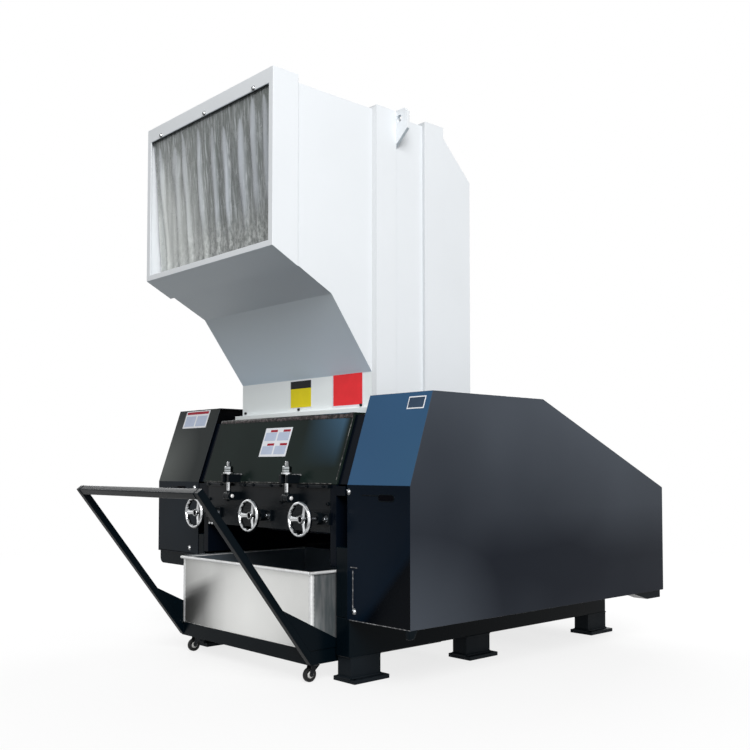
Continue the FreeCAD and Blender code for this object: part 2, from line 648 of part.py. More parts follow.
def make_upper_housing():
    """Two side plates behind the lid, with slanted fronts, and the rear wall between them."""
    housing = body("upper_housing")
    under_ledge = "(derived.flange_bottom - dims.lid_ledge_thickness)"
    side_outline = [
        ("dims.lid_skin", "derived.chamber_split"),
        (f"{slope_at(under_ledge)} + dims.lid_skin", under_ledge),
        ("derived.lid_ledge_rear", under_ledge),
        ("derived.lid_ledge_rear", "derived.flange_bottom"),
        ("dims.chamber_rear", "derived.flange_bottom"),
        ("dims.chamber_rear", "derived.chamber_split"),
    ]
    rear_outline = rectangle(
        ("dims.chamber_rear - dims.rear_wall_thickness", "dims.chamber_rear"),
        ("derived.chamber_split", "derived.flange_bottom"))
    prism(housing, "left", "X", side_span("left", "derived.upper_inner", "derived.upper_outer"),
          side_outline)
    prism(housing, "rear", "X", ("-derived.upper_inner", "derived.upper_inner"), rear_outline)
    prism(housing, "right", "X", side_span("right", "derived.upper_inner", "derived.upper_outer"),
          side_outline)


def make_lid():
    """Slanted front panel with a ledge under the hopper's flange and two slotted lugs."""
    lid = body("lid")
    under_ledge = "(derived.flange_bottom - dims.lid_ledge_thickness)"
    prism(lid, "panel", "X", ("-derived.lid_half_width", "derived.lid_half_width"), [
        ("0", "derived.chamber_split"),
        (slope_at("derived.flange_bottom"), "derived.flange_bottom"),
        ("derived.lid_ledge_rear", "derived.flange_bottom"),
        ("derived.lid_ledge_rear", under_ledge),
        (f"{slope_at(under_ledge)} + dims.lid_skin", under_ledge),
        ("dims.lid_skin", "derived.chamber_split"),
    ])
    half_slot = "(dims.bolt_radius + dims.slot_clearance)"
    lug_outline = [
        ("derived.lug_front", "derived.lug_bottom"),
        (f"{slope_at('derived.lug_bottom')} + dims.lid_skin / 2", "derived.lug_bottom"),
        (f"{slope_at('derived.lug_top')} + dims.lid_skin / 2", "derived.lug_top"),
        ("derived.lug_front", "derived.lug_top"),
    ]
    for clamp, sign in (("left", "-"), ("right", "")):
        middle = f"{sign}dims.clamp_offset"
        prism(lid, f"lug_{clamp}", "X",
              (f"{middle} - dims.lug_half_width", f"{middle} + dims.lug_half_width"), lug_outline)
        prism(lid, f"slot_{clamp}", "Z", ("derived.lug_bottom", "derived.lug_top"),
              rectangle((f"{middle} - {half_slot}", f"{middle} + {half_slot}"),
                        ("derived.lug_front", f"derived.clamp_depth + {half_slot}")), cut=True)


# Hopper

DUCT_INSIDE = "(derived.duct_half_width - dims.duct_sheet)"
DUCT_FRONT = "(derived.rim_front + dims.rim_face_thickness)"
RIM_REAR = "(derived.rim_front + dims.rim_depth)"
# The underside of rim and duct falls towards the knee: height for each millimetre along Y
FALL = ("((derived.knee_height - derived.rim_bottom - dims.rim_wall)"
        " / (derived.knee_depth - derived.rim_front))")
DUCT_FRONT_BOTTOM = f"(derived.rim_bottom + dims.rim_wall + {FALL} * dims.rim_face_thickness)"


def make_hopper_flange():
    flange = body("hopper_flange")
    margin = "dims.flange_margin"
    half = f"(derived.duct_half_width + {margin})"
    up = ("derived.flange_bottom", "derived.flange_top")
    prism(flange, "plate", "Z", up,
          rectangle((f"-{half}", half),
                    (f"dims.neck_front - {margin}", f"dims.chamber_rear + {margin}")))
    prism(flange, "throat", "Z", up,
          rectangle((f"-{DUCT_INSIDE}", DUCT_INSIDE),
                    ("dims.neck_front + dims.duct_sheet", "dims.chamber_rear - dims.duct_sheet")),
          cut=True)


def make_hopper_side(side):
    plate = body(f"hopper_side_{side}")
    prism(plate, "plate", "X", side_span(side, DUCT_INSIDE, "derived.duct_half_width"), [
        (DUCT_FRONT, DUCT_FRONT_BOTTOM),
        ("derived.knee_depth", "derived.knee_height"),
        ("dims.neck_front", "derived.neck_top"),
        ("dims.neck_front", "derived.flange_top"),
        ("dims.chamber_rear", "derived.flange_top"),
        ("dims.chamber_rear", "derived.chamfer_bottom"),
        ("derived.chamfer_start", "dims.duct_top"),
        (DUCT_FRONT, "dims.duct_top"),
    ])


def make_hopper_walls():
    """Two folded sheets between the sides: back with top, and neck with underside."""
    bent_sheet("hopper_back", [
        ("dims.chamber_rear", "derived.flange_top"),
        ("dims.chamber_rear", "derived.chamfer_bottom"),
        ("derived.chamfer_start", "dims.duct_top"),
        (DUCT_FRONT, "dims.duct_top"),
    ], DUCT_INSIDE)
    bent_sheet("hopper_underside", [
        (DUCT_FRONT, DUCT_FRONT_BOTTOM),
        ("derived.knee_depth", "derived.knee_height"),
        ("dims.neck_front", "derived.neck_top"),
        ("dims.neck_front", "derived.flange_top"),
    ], DUCT_INSIDE)


def make_hopper_rim():
    """Collar around the duct's mouth, with a front plate that frames the opening."""
    rim = body("hopper_rim")
    half = "(derived.duct_half_width + dims.rim_wall)"
    rear_bottom = f"derived.rim_bottom + {FALL} * dims.rim_depth"
    duct_rear_bottom = f"derived.rim_bottom + dims.rim_wall + {FALL} * dims.rim_depth"
    prism(rim, "collar", "X", (f"-{half}", half), [
        ("derived.rim_front", "derived.rim_bottom"), (RIM_REAR, rear_bottom),
        (RIM_REAR, "derived.rim_top"), ("derived.rim_front", "derived.rim_top"),
    ])
    prism(rim, "seat", "X", ("-derived.duct_half_width", "derived.duct_half_width"), [
        (DUCT_FRONT, DUCT_FRONT_BOTTOM), (RIM_REAR, duct_rear_bottom),
        (RIM_REAR, "dims.duct_top"), (DUCT_FRONT, "dims.duct_top"),
    ], cut=True)
    opening = f"({half} - dims.mouth_side_band)"
    prism(rim, "mouth", "Y", ("derived.rim_front", DUCT_FRONT),
          rectangle((f"-{opening}", opening),
                    ("derived.rim_bottom + dims.mouth_bottom_band",
                     "derived.rim_top - dims.mouth_top_band")), cut=True)


def make_hopper_bands():
    """Raised bands over the top and down both sides of the duct."""
    outer = "(derived.duct_half_width + dims.band_proud)"
    top = "(dims.duct_top + dims.band_proud)"
    bottom = "(derived.flange_top + dims.band_bottom_gap)"
    bands = []
    for name, start in (("front", "dims.neck_front"), ("rear", "derived.rear_band_start")):
        band = doc.addObject("PartDesign::Body", f"band_{name}")
        span = (start, f"{start} + dims.band_width")
        prism(band, "outside", "Y", span, rectangle((f"-{outer}", outer), (bottom, top)))
        prism(band, "inside", "Y", span,
              rectangle(("-derived.duct_half_width", "derived.duct_half_width"),
                        (bottom, "dims.duct_top")), cut=True)
        bands.append(band)
    finish(grouped("hopper_bands", bands), "hopper_bands")


def make_lifting_ears():
    """Drilled plates on the duct's upper edges, behind the front band's middle."""
    ears = []
    duct, top = "derived.duct_half_width", "(dims.duct_top + dims.ear_rise)"
    start = "(dims.neck_front + dims.band_width)"
    span = (start, f"{start} + dims.ear_thickness")
    outline = [
        (duct, f"{top} - dims.ear_length"),
        (f"({duct} + dims.ear_reach)", f"{top} - dims.ear_edge"),
        (f"({duct} + dims.ear_reach)", f"{top} - dims.ear_bevel"),
        (f"({duct} + dims.ear_reach - dims.ear_bevel)", top),
        (duct, top),
    ]
    for side, sign in (("left", "-"), ("right", "")):
        ear = doc.addObject("PartDesign::Body", f"ear_{side}")
        prism(ear, "plate", "Y", span, [(f"{sign}{across}", up) for across, up in outline])
        disc(ear, "hole", "Y", span,
             (f"{sign}({duct} + dims.ear_hole_reach)", f"{top} - dims.ear_hole_drop"),
             "dims.ear_hole_radius", cut=True)
        ears.append(ear)
    finish(grouped("lifting_ears", ears), "lifting_ears")


def make_curtain():
    """Strips that hang side by side behind the mouth's front plate."""
    half = "(derived.duct_half_width + dims.rim_wall - dims.mouth_side_band)"
    count = int(value("dims.curtain_strips"))
    pitch = f"(2 * {half} + dims.curtain_strip_gap) / dims.curtain_strips"
    front = "(derived.rim_front + dims.curtain_setback)"
    y = (front, f"{front} + dims.curtain_thickness")
    z = ("derived.rim_bottom + dims.mouth_bottom_band + dims.curtain_bottom_gap",
         "dims.duct_top - dims.duct_sheet")
    strips = []
    for number in range(count):
        left = f"(-{half} + {number} * {pitch})"
        x = (left, f"{left} + {pitch} - dims.curtain_strip_gap")
        strips.append(box(f"strip_{number + 1}", x, y, z))
    finish(grouped("curtain", strips), "curtain")


# Guards


def make_guard(side, rear, rear_height):
    """Closed sheet housing, with a skin that reaches in over the frame's front."""
    guard = body(f"{side}_guard")
    inner, outer = f"derived.{side}_guard_inner", f"derived.{side}_guard_outer"
    bottom, slant = f"derived.{side}_guard_bottom", f"dims.{side}_guard_slant_start"
    front = [("0", bottom), ("0", "derived.chamber_split"), ("dims.slope_run", "derived.guard_top"),
             (slant, "derived.guard_top")]
    prism(guard, "housing", "X", side_span(side, "derived.frame_outer", outer),
          front + [(rear, rear_height), (rear, bottom)])
    under_skin = "(derived.guard_top - dims.guard_sheet)"
    prism(guard, "skin", "X", side_span(side, inner, "derived.frame_outer"), front + [
        (slant, under_skin),
        (f"{slope_at(under_skin)} + dims.guard_sheet", under_skin),
        ("dims.guard_sheet", "derived.chamber_split"),
        ("dims.guard_sheet", bottom),
    ])


def make_left_tray():
    """Shallow tray under the left guard, round along its outer lower edge."""
    tray = body("left_guard_tray")
    outer = "(derived.left_guard_outer - dims.tray_inset)"
    span = ("dims.tray_inset", "derived.left_guard_rear - dims.tray_inset")
    low = "(derived.left_guard_bottom - dims.tray_height)"
    corner = "dims.tray_corner"
    prism(tray, "upper", "Y", span,
          rectangle((f"-{outer}", "-derived.frame_outer"),
                    (f"{low} + {corner}", "derived.left_guard_bottom")))
    prism(tray, "lower", "Y", span,
          rectangle((f"-{outer} + {corner}", "-derived.frame_outer"), (low, f"{low} + {corner}")))
    disc(tray, "edge", "Y", span, (f"-{outer} + {corner}", f"{low} + {corner}"), corner)


def make_right_pan():
    """Narrow pan under the outer rear edge of the right guard, with a slanted front."""
    pan = body("right_guard_pan")
    bottom = "derived.right_guard_bottom"
    outer = "(derived.right_guard_outer - dims.pan_inset)"
    prism(pan, "pan", "X", (f"{outer} - dims.pan_width", outer), [
        ("derived.pan_start", bottom),
        ("derived.pan_start + dims.pan_taper", f"{bottom} - dims.pan_height"),
        ("derived.pan_rear", f"{bottom} - dims.pan_height"),
        ("derived.pan_rear", bottom),
    ])


# Motor


def make_motor():
    """Foot motor across the rear of the frame, its shaft running into the right guard."""
    plate_bottom = "derived.rail_top"
    plate_top = "(derived.rail_top + dims.motor_plate_thickness)"
    half_plate = "dims.motor_plate_length / 2"
    slab("motor_plate", ("-derived.frame_outer", "derived.frame_outer"),
         (f"dims.motor_centre_depth - {half_plate}", f"dims.motor_centre_depth + {half_plate}"),
         (plate_bottom, plate_top))
    axis_z = f"({plate_top} + dims.motor_floor_gap + dims.motor_radius)"
    centre = ("dims.motor_centre_depth", axis_z)
    housing = rod("motor_housing", "dims.motor_radius", "derived.motor_fan_end",
                  "derived.motor_drive_end", *centre)
    shaft = rod("motor_shaft", "dims.motor_shaft_radius", "derived.motor_drive_end",
                "derived.frame_outer", *centre)
    inset = "dims.motor_foot_inset"
    feet = box("motor_feet", (f"derived.motor_fan_end + {inset}", f"derived.motor_drive_end - {inset}"),
               ("dims.motor_centre_depth - dims.motor_foot_width / 2",
                "dims.motor_centre_depth + dims.motor_foot_width / 2"),
               (plate_top, f"{plate_top} + dims.motor_foot_height"))
    middle = "((derived.motor_fan_end + derived.motor_drive_end) / 2)"
    terminal = box("motor_terminal_box",
                   (f"{middle} - dims.terminal_box_width / 2",
                    f"{middle} + dims.terminal_box_width / 2"),
                   ("dims.motor_centre_depth - dims.terminal_box_length / 2",
                    "dims.motor_centre_depth + dims.terminal_box_length / 2"),
                   (axis_z, f"{axis_z} + dims.motor_radius + dims.terminal_box_rise"))
    cover = rod("motor_fan_cover", "dims.motor_radius + dims.motor_cover_step",
                "derived.motor_fan_end - dims.motor_cover_length", "derived.motor_fan_end", *centre)
    finish(fused("motor", [housing, cover, shaft, feet, terminal]), "motor")


# Handwheels and swing bolts


def make_handwheel(name, x):
    """Three-spoked wheel on the end of a screw that runs back into the door."""
    depth = "derived.middle_wheel_depth" if name == "centre" else "derived.wheel_depth"
    wheel = body(f"handwheel_{name}", x, depth, "derived.wheel_height")
    add_rim(wheel)
    half_hub = "(dims.wheel_hub_length / 2)"
    disc(wheel, "hub", "Y", (f"-{half_hub}", half_hub), ("0", "0"), "dims.wheel_hub_radius")
    half_spoke = "(dims.spoke_width / 2)"
    spoke = prism(wheel, "spoke", "Y", ("-dims.spoke_thickness / 2", "dims.spoke_thickness / 2"),
                  rectangle(("-dims.wheel_radius", "0"), (f"-{half_spoke}", half_spoke)))
    spokes = wheel.newObject("PartDesign::PolarPattern", f"{wheel.Name}_spokes")
    spokes.Originals = [spoke]
    spokes.Axis = (spoke.Profile[0], ["N_Axis"])
    spokes.Occurrences = 3
    wheel.Tip = spokes
    screw_end = f"(dims.frame_front + dims.door_thickness - {depth})"
    disc(wheel, "screw", "Y", ("0", screw_end), ("0", "0"), "dims.screw_radius")
    disc(wheel, "bore", "Y", (f"-{half_hub}", f"-{half_hub} + dims.wheel_bore_depth"),
         ("0", "0"), "dims.wheel_hub_bore", cut=True)


def add_rim(wheel):
    """Round rim, turned about the wheel's axis."""
    section = sketch_at(wheel, "rim", "Z", "0", "0")
    section.addGeometry(Part.Circle(Vector(value("dims.wheel_radius"), 0, 0), Vector(0, 0, 1),
                                    value("dims.wheel_rim_section")))
    section.addConstraint(Sketcher.Constraint("PointOnObject", 0, 3, -1))
    for constraint, expression in (
            (Sketcher.Constraint("DistanceX", -1, 1, 0, 3, value("dims.wheel_radius")),
             "dims.wheel_radius"),
            (Sketcher.Constraint("Radius", 0, value("dims.wheel_rim_section")),
             "dims.wheel_rim_section")):
        number = section.addConstraint(constraint)
        section.setExpression(f"Constraints[{number}]", expression)
    rim = wheel.newObject("PartDesign::Revolution", f"{wheel.Name}_rim")
    rim.Profile = section
    rim.ReferenceAxis = (section, ["V_Axis"])
    rim.Angle = 360


def make_swing_bolt(side, sign):
    """Eye bolt that stands up from its pivot through the lug's slot, with washer and nut."""
    bolt = body(f"swing_bolt_{side}", f"{sign}dims.clamp_offset", "derived.clamp_depth",
                "derived.pivot_height")
    eye_span = (f"-{EYE_HALF}", EYE_HALF)
    disc(bolt, "eye", "X", eye_span, ("0", "0"), "dims.eye_radius")
    disc(bolt, "shank", "Z", ("0", "derived.bolt_top - derived.pivot_height"), ("0", "0"),
         "dims.bolt_radius")
    washer = "(derived.washer_bottom - derived.pivot_height)"
    nut = "(derived.nut_bottom - derived.pivot_height)"
    disc(bolt, "washer", "Z", (washer, nut), ("0", "0"), "dims.washer_radius")
    radius = "dims.nut_radius"
    half, tall = f"({radius} / 2)", f"({radius} * sqrt(3) / 2)"
    prism(bolt, "nut", "Z", (nut, f"{nut} + dims.nut_height"), [
        (radius, "0"), (half, tall), (f"-{half}", tall),
        (f"-{radius}", "0"), (f"-{half}", f"-{tall}"), (half, f"-{tall}"),
    ])
    disc(bolt, "bore", "X", eye_span, ("0", "0"), "dims.pin_radius + dims.pin_clearance",
         cut=True)


# Trolley

ARM_HALF_CUT = f"(dims.handle_tube / 2 * {ARM_LENGTH} / {ARM_REACH})"


CASTERS = {
    "front_left": ("-derived.front_caster_side", "derived.front_caster_depth"),
    "front_right": ("derived.front_caster_side", "derived.front_caster_depth"),
    "rear_left": ("-derived.rear_caster_side", "derived.rear_caster_depth"),
    "rear_right": ("derived.rear_caster_side", "derived.rear_caster_depth"),
}


def make_trolley_base():
    """Flat frame of box tubes with one tube across the middle, and the casters' plates."""
    base = body("trolley_base")
    up = ("derived.trolley_bottom", "derived.trolley_top")
    tube = "dims.trolley_tube"
    middle = "((derived.trolley_front + derived.trolley_rear) / 2)"
    inside = (f"-(derived.trolley_half - {tube})", f"derived.trolley_half - {tube}")
    prism(base, "outside", "Z", up, rectangle(("-derived.trolley_half", "derived.trolley_half"),
                                              ("derived.trolley_front", "derived.trolley_rear")))
    prism(base, "front_bay", "Z", up,
          rectangle(inside, (f"derived.trolley_front + {tube}", f"{middle} - {tube} / 2")), cut=True)
    prism(base, "rear_bay", "Z", up,
          rectangle(inside, (f"{middle} + {tube} / 2", f"derived.trolley_rear - {tube}")), cut=True)
    plate_up = ("derived.caster_plate_bottom", "derived.trolley_bottom")
    half_plate = "dims.caster_plate / 2"
    for name, (x, y) in CASTERS.items():
        prism(base, f"plate_{name}", "Z", plate_up,
              rectangle((f"{x} - {half_plate}", f"{x} + {half_plate}"),
                        (f"{y} - {half_plate}", f"{y} + {half_plate}")))
        disc(base, f"bore_{name}", "Z", plate_up, (x, y),
             "dims.kingpin_radius + dims.caster_axle_clearance", cut=True)


def make_bin():
    """Open sheet bin with a lip turned out around its top."""
    tub = body("collecting_bin")
    rear = "(derived.trolley_rear - dims.bin_rear_gap)"
    outside = ("(derived.trolley_front + dims.bin_front_gap)", rear)
    prism(tub, "outside", "Z", ("derived.trolley_top", "derived.bin_top"),
          rectangle(("-derived.bin_half", "derived.bin_half"), outside))
    lip = "dims.lip_width"
    lip_half = "(derived.bin_half + dims.side_lip_width)"
    prism(tub, "lip", "Z", ("derived.bin_top - dims.lip_height", "derived.bin_top"),
          rectangle((f"-{lip_half}", lip_half), (f"{outside[0]} - {lip}", f"{outside[1]} + {lip}")))
    sheet = "dims.bin_sheet"
    inner_half = f"(derived.bin_half - {sheet})"
    prism(tub, "inside", "Z", (f"derived.trolley_top + {sheet}", "derived.bin_top"),
          rectangle((f"-{inner_half}", inner_half),
                    (f"{outside[0]} + {sheet}", f"{outside[1]} - {sheet}")), cut=True)


def make_handle():
    """Two square arms that lean forward, cut off against the trolley's front, and a bar."""
    handle = body("trolley_handle")
    half_tube = "(dims.handle_tube / 2)"
    # Half the tube along the arm and across it, as steps in Y and Z
    along = (f"({half_tube} * {ARM_REACH} / {ARM_LENGTH})",
             f"({half_tube} * {ARM_RISE} / {ARM_LENGTH})")
    across = (along[1], along[0])
    bar = ("derived.handle_front", "dims.handle_height")
    rear_top = (f"{bar[0]} - {along[0]} + {across[0]}", f"{bar[1]} + {along[1]} + {across[1]}")
    front_top = (f"{bar[0]} - {along[0]} - {across[0]}", f"{bar[1]} + {along[1]} - {across[1]}")
    rear_low = (f"{bar[0]} + {along[0]} + {across[0]}", f"{bar[1]} - {along[1]} + {across[1]}")
    front_low = (f"{bar[0]} + {along[0]} - {across[0]}", f"{bar[1]} - {along[1]} - {across[1]}")
    arm = [front_top, ("derived.trolley_front", f"derived.handle_foot_height - {ARM_HALF_CUT}"),
           ("derived.trolley_front", f"derived.handle_foot_height + {ARM_HALF_CUT}"), rear_top]
    inner = "(derived.handle_half_width - dims.handle_tube)"
    prism(handle, "left_arm", "X", side_span("left", inner, "derived.handle_half_width"), arm)
    prism(handle, "bar", "X", (f"-{inner}", inner), [front_top, front_low, rear_low, rear_top])
    prism(handle, "right_arm", "X", side_span("right", inner, "derived.handle_half_width"), arm)


def make_gussets():
    """Plates beside the bin that tie the arms to the trolley base."""
    rise = f"((derived.trolley_front - derived.gusset_front) * {ARM_RISE} / {ARM_REACH})"
    arm_top = f"(derived.handle_foot_height + {ARM_HALF_CUT})"
    outline = [
        ("derived.gusset_front", f"{arm_top} + {rise}"),
        ("derived.trolley_front", arm_top),
        ("derived.trolley_front", "derived.trolley_top"),
        ("derived.gusset_rear", "derived.trolley_top"),
    ]
    plates = []
    for side in ("left", "right"):
        plate = doc.addObject("PartDesign::Body", f"gusset_{side}")
        prism(plate, "plate", "X",
              side_span(side, "derived.bin_half", "derived.gusset_half_width"), outline)
        plates.append(plate)
    finish(grouped("handle_gussets", plates), "handle_gussets")


def make_caster(name, x, y):
    """Swivelling fork with its kingpin and axle, and a bored wheel, drawn around the axle height."""
    fork = body(f"caster_fork_{name}", x, y, "dims.caster_radius")
    kingpin_top = "(derived.trolley_bottom - dims.caster_swivel_gap - dims.caster_radius)"
    crown_top = "(derived.crown_top - dims.caster_radius)"
    crown_bottom = "(derived.crown_bottom - dims.caster_radius)"
    half_crown = "(dims.caster_crown_length / 2)"
    cheek_in = "(dims.caster_width / 2 + dims.caster_cheek_gap)"
    cheek_out = f"({cheek_in} + dims.caster_cheek)"
    axle = ("-dims.caster_trail", "0")
    end = "(dims.caster_axle_radius + dims.caster_cheek_edge)"
    cheek = [(half_crown, crown_bottom), (f"-{half_crown}", crown_bottom),
             (f"{axle[0]} - {end}", "0"), (f"{axle[0]} + {end}", "0")]
    disc(fork, "kingpin", "Z", (crown_bottom, kingpin_top), ("0", "0"), "dims.kingpin_radius")
    prism(fork, "crown", "Z", (crown_bottom, crown_top),
          rectangle((f"-{cheek_out}", cheek_out), (f"-{half_crown}", half_crown)))
    for side in ("left", "right"):
        span = side_span(side, cheek_in, cheek_out)
        prism(fork, f"cheek_{side}", "X", span, cheek)
        disc(fork, f"cheek_end_{side}", "X", span, axle, end)
    reach = f"({cheek_out} + dims.caster_cheek)"
    disc(fork, "axle", "X", (f"-{reach}", reach), axle, "dims.caster_axle_radius")
    wheel = body(f"caster_wheel_{name}", x, f"{y} - dims.caster_trail", "dims.caster_radius")
    span = ("-dims.caster_width / 2", "dims.caster_width / 2")
    disc(wheel, "tread", "X", span, ("0", "0"), "dims.caster_radius")
    disc(wheel, "bore", "X", span, ("0", "0"),
         "dims.caster_axle_radius + dims.caster_axle_clearance", cut=True)


for side in ("left", "right"):
    make_rail(side)
    make_feet(side)
    make_chamber_side(side)
    make_hopper_side(side)
make_cross_beams()
make_chamber_rear_wall()
make_front_bar()
make_pivot_pins()
make_screen_door()
make_screen()
make_upper_housing()
make_lid()
make_hopper_flange()
make_hopper_walls()
make_hopper_rim()
make_hopper_bands()
make_lifting_ears()
make_curtain()
make_guard("left", "derived.left_guard_rear", "derived.left_guard_rear_height")
make_guard("right", "derived.right_guard_rear", "derived.right_guard_rear_height")
make_left_tray()
make_right_pan()
make_motor()
make_trolley_base()
make_bin()
make_handle()
make_gussets()
for name, (x, y) in CASTERS.items():
    make_caster(name, x, y)
for name, x in WHEELS.items():
    make_handwheel(name, x)
make_swing_bolt("left", "-")
make_swing_bolt("right", "")

doc.recompute()
for thing in doc.Objects:
    if {"Invalid", "Error"} & set(thing.State):
        raise RuntimeError(f"{thing.Label}: {thing.State}")
for piece in PARTS:
    if piece.Shape.isNull() or not piece.Shape.isValid() or not piece.Shape.Solids:
        raise RuntimeError(f"{piece.Label} has no valid solid")

os.makedirs("parts", exist_ok=True)
for piece in PARTS:
    piece.Shape.exportStep(f"parts/{piece.Label}.step")
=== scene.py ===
import math
import random

import bmesh
import bpy
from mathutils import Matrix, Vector


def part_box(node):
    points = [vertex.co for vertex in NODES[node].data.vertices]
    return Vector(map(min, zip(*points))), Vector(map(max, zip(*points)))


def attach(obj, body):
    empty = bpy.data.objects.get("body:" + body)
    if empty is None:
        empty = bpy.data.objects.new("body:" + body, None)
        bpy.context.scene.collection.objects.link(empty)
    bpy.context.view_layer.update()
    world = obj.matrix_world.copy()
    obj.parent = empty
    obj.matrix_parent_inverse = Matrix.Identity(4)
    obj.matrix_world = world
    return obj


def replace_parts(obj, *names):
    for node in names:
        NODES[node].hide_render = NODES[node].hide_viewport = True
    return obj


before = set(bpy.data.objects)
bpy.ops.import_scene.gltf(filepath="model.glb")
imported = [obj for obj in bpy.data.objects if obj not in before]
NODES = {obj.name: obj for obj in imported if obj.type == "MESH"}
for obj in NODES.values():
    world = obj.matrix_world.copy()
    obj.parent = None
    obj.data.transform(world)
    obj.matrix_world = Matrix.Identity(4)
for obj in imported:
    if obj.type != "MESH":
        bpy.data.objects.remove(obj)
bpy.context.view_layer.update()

random.seed(4)

# Machine coordinates, in millimetres: X from the middle plane of the rails, Y from the
# front face of the guards, Z from the floor. at() turns them into the frame's metres.
MM = 0.001
RAIL_LEFT, RAIL_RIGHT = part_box("base_rail_left"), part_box("base_rail_right")
ORIGIN = Vector(((RAIL_LEFT[0].x + RAIL_RIGHT[1].x) / 2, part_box("right_guard")[0].y, 0))

X, Y, Z = Vector((1, 0, 0)), Vector((0, 1, 0)), Vector((0, 0, 1))
HERE = Vector((0, 0, 0))

# Slanted front plane that lid and guards share: it starts over the front plane at the fold
FOLD_HEIGHT, SLOPE_RUN, SLOPE_RISE = 813, 127, 375
SLOPE_UP = Vector((0, SLOPE_RUN, SLOPE_RISE)).normalized()
SLOPE_OUT = X.cross(SLOPE_UP)

NECK_FRONT = 219
FRONT_LIP, SIDE_LIP = 15, 7


def at(x, y, z):
    return ORIGIN + Vector((x, y, z)) * MM


def on_slope(x, z, lift=0.0):
    """A point on the slanted front plane, lifted off it."""
    return Vector((x, (z - FOLD_HEIGHT) * SLOPE_RUN / SLOPE_RISE, z)) + SLOPE_OUT * lift


def extent(node):
    """Low and high corner of a CAD node in machine millimetres."""
    low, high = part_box(node)
    return (low - ORIGIN) / MM, (high - ORIGIN) / MM


def clamp(value):
    return max(0.0, min(1.0, value))


# Materials


class Nodes:
    """Adds linked nodes to one tree."""

    def __init__(self, tree):
        self.tree = tree

    def feed(self, target, value):
        """Links a socket to an input, or sets a number, vector or colour there."""
        if isinstance(value, bpy.types.NodeSocket):
            self.tree.links.new(value, target)
        else:
            target.default_value = (*value, 1) if target.type == "RGBA" else value

    def add(self, kind, inputs=None, **settings):
        """The outputs of a new node with the given inputs and settings."""
        node = self.tree.nodes.new(kind)
        for key, value in settings.items():
            setattr(node, key, value)
        for key, value in (inputs or {}).items():
            self.feed(node.inputs[key], value)
        return node.outputs

    def calculate(self, operation, *values):
        return self.add("ShaderNodeMath", dict(enumerate(values)), operation=operation)[0]

    def product(self, one, two):
        return self.calculate("MULTIPLY", one, two)

    def remap(self, source, low, high, start=0.3, end=0.7):
        """Low at the start and high at the end of the source's range."""
        return self.add("ShaderNodeMapRange", {"Value": source, "From Min": start, "From Max": end,
                                               "To Min": low, "To Max": high})["Result"]

    def rise(self, source, start, end):
        return self.remap(source, 0.0, 1.0, start, end)

    def fall(self, source, start, end):
        return self.remap(source, 1.0, 0.0, start, end)

    def mix(self, factor, one, two):
        """One colour, turning into the other as the factor goes from 0 to 1."""
        return self.add("ShaderNodeMix", {0: factor, 6: one, 7: two}, data_type="RGBA")[2]


class Shader(Nodes):
    """A node material around one Principled shader, with coordinates in metres."""

    def __init__(self, name, **sockets):
        self.material = bpy.data.materials.new(name)
        self.material.use_nodes = True
        super().__init__(self.material.node_tree)
        self.bsdf = self.tree.nodes["Principled BSDF"]
        for socket, value in sockets.items():
            self.feed(self.bsdf.inputs[socket.replace("_", " ")], value)
        coordinates = self.add("ShaderNodeTexCoord")
        self.place, self.surface = coordinates["Object"], coordinates["Normal"]

    def axes(self):
        """The three coordinates as sockets."""
        return self.add("ShaderNodeSeparateXYZ", {"Vector": self.place})

    def stretched(self, scale):
        return self.add("ShaderNodeMapping", {"Vector": self.place, "Scale": scale})["Vector"]

    def distance(self, point, place=None):
        return self.add("ShaderNodeVectorMath", {0: place or self.place, 1: point},
                        operation="DISTANCE")["Value"]

    def facing(self, direction, start, end):
        """0 to 1 where the object's own surface turns towards a direction."""
        dot = self.add("ShaderNodeVectorMath", {0: self.surface, 1: direction},
                       operation="DOT_PRODUCT")
        return self.rise(dot["Value"], start, end)

    def noise(self, scale, detail=3.0, place=None, rough=0.5):
        return self.add("ShaderNodeTexNoise", {"Vector": place or self.place, "Scale": scale,
                                               "Detail": detail, "Roughness": rough})["Fac"]

    def ramp(self, source, *stops):
        """A colour ramp over the source: (position, colour) pairs."""
        result = self.add("ShaderNodeValToRGB", {"Fac": source})["Color"]
        elements = result.node.color_ramp.elements
        while len(elements) < len(stops):
            elements.new(0.5)
        for element, (position, colour) in zip(elements, stops):
            element.position = position
            element.color = (*colour, 1)
        return result

    def clouded(self, source, colour, low, high, start=0.3, end=0.7):
        """A colour that goes from a low to a high share of itself with the source."""
        return self.ramp(source, (start, tinted(colour, low)), (end, tinted(colour, high)))

    def colour(self, source):
        self.feed(self.bsdf.inputs["Base Color"], source)

    def roughness(self, source, low, high):
        self.feed(self.bsdf.inputs["Roughness"], self.remap(source, low, high))

    def bump(self, *layers):
        """Heights in metres, one over the other: (source, height) pairs."""
        below = {}
        for source, height in layers:
            bump = self.add("ShaderNodeBump", {"Strength": 1.0, "Distance": height,
                                               "Height": source, **below})
            below = {"Normal": bump["Normal"]}
        self.feed(self.bsdf.inputs["Normal"], below["Normal"])


def tinted(colour, factor):
    return tuple(min(1.0, part * factor) for part in colour)


def paint(name, colour, rough, specular=0.5, wave=0.0006, peel=0.00004, spread=0.08, shade=None):
    """Sprayed paint on sheet: slight tone changes, orange peel and a gently uneven sheet.
    A shade function may paint light and shade into the tone by place or direction."""
    shader = Shader(name, Specular_IOR_Level=specular)
    tone = shader.clouded(shader.noise(1.7, 4), colour, 1 - spread, 1 + spread)
    shader.colour(shade(shader, tone) if shade else tone)
    finish_paint(shader, rough, wave, peel)
    return shader.material


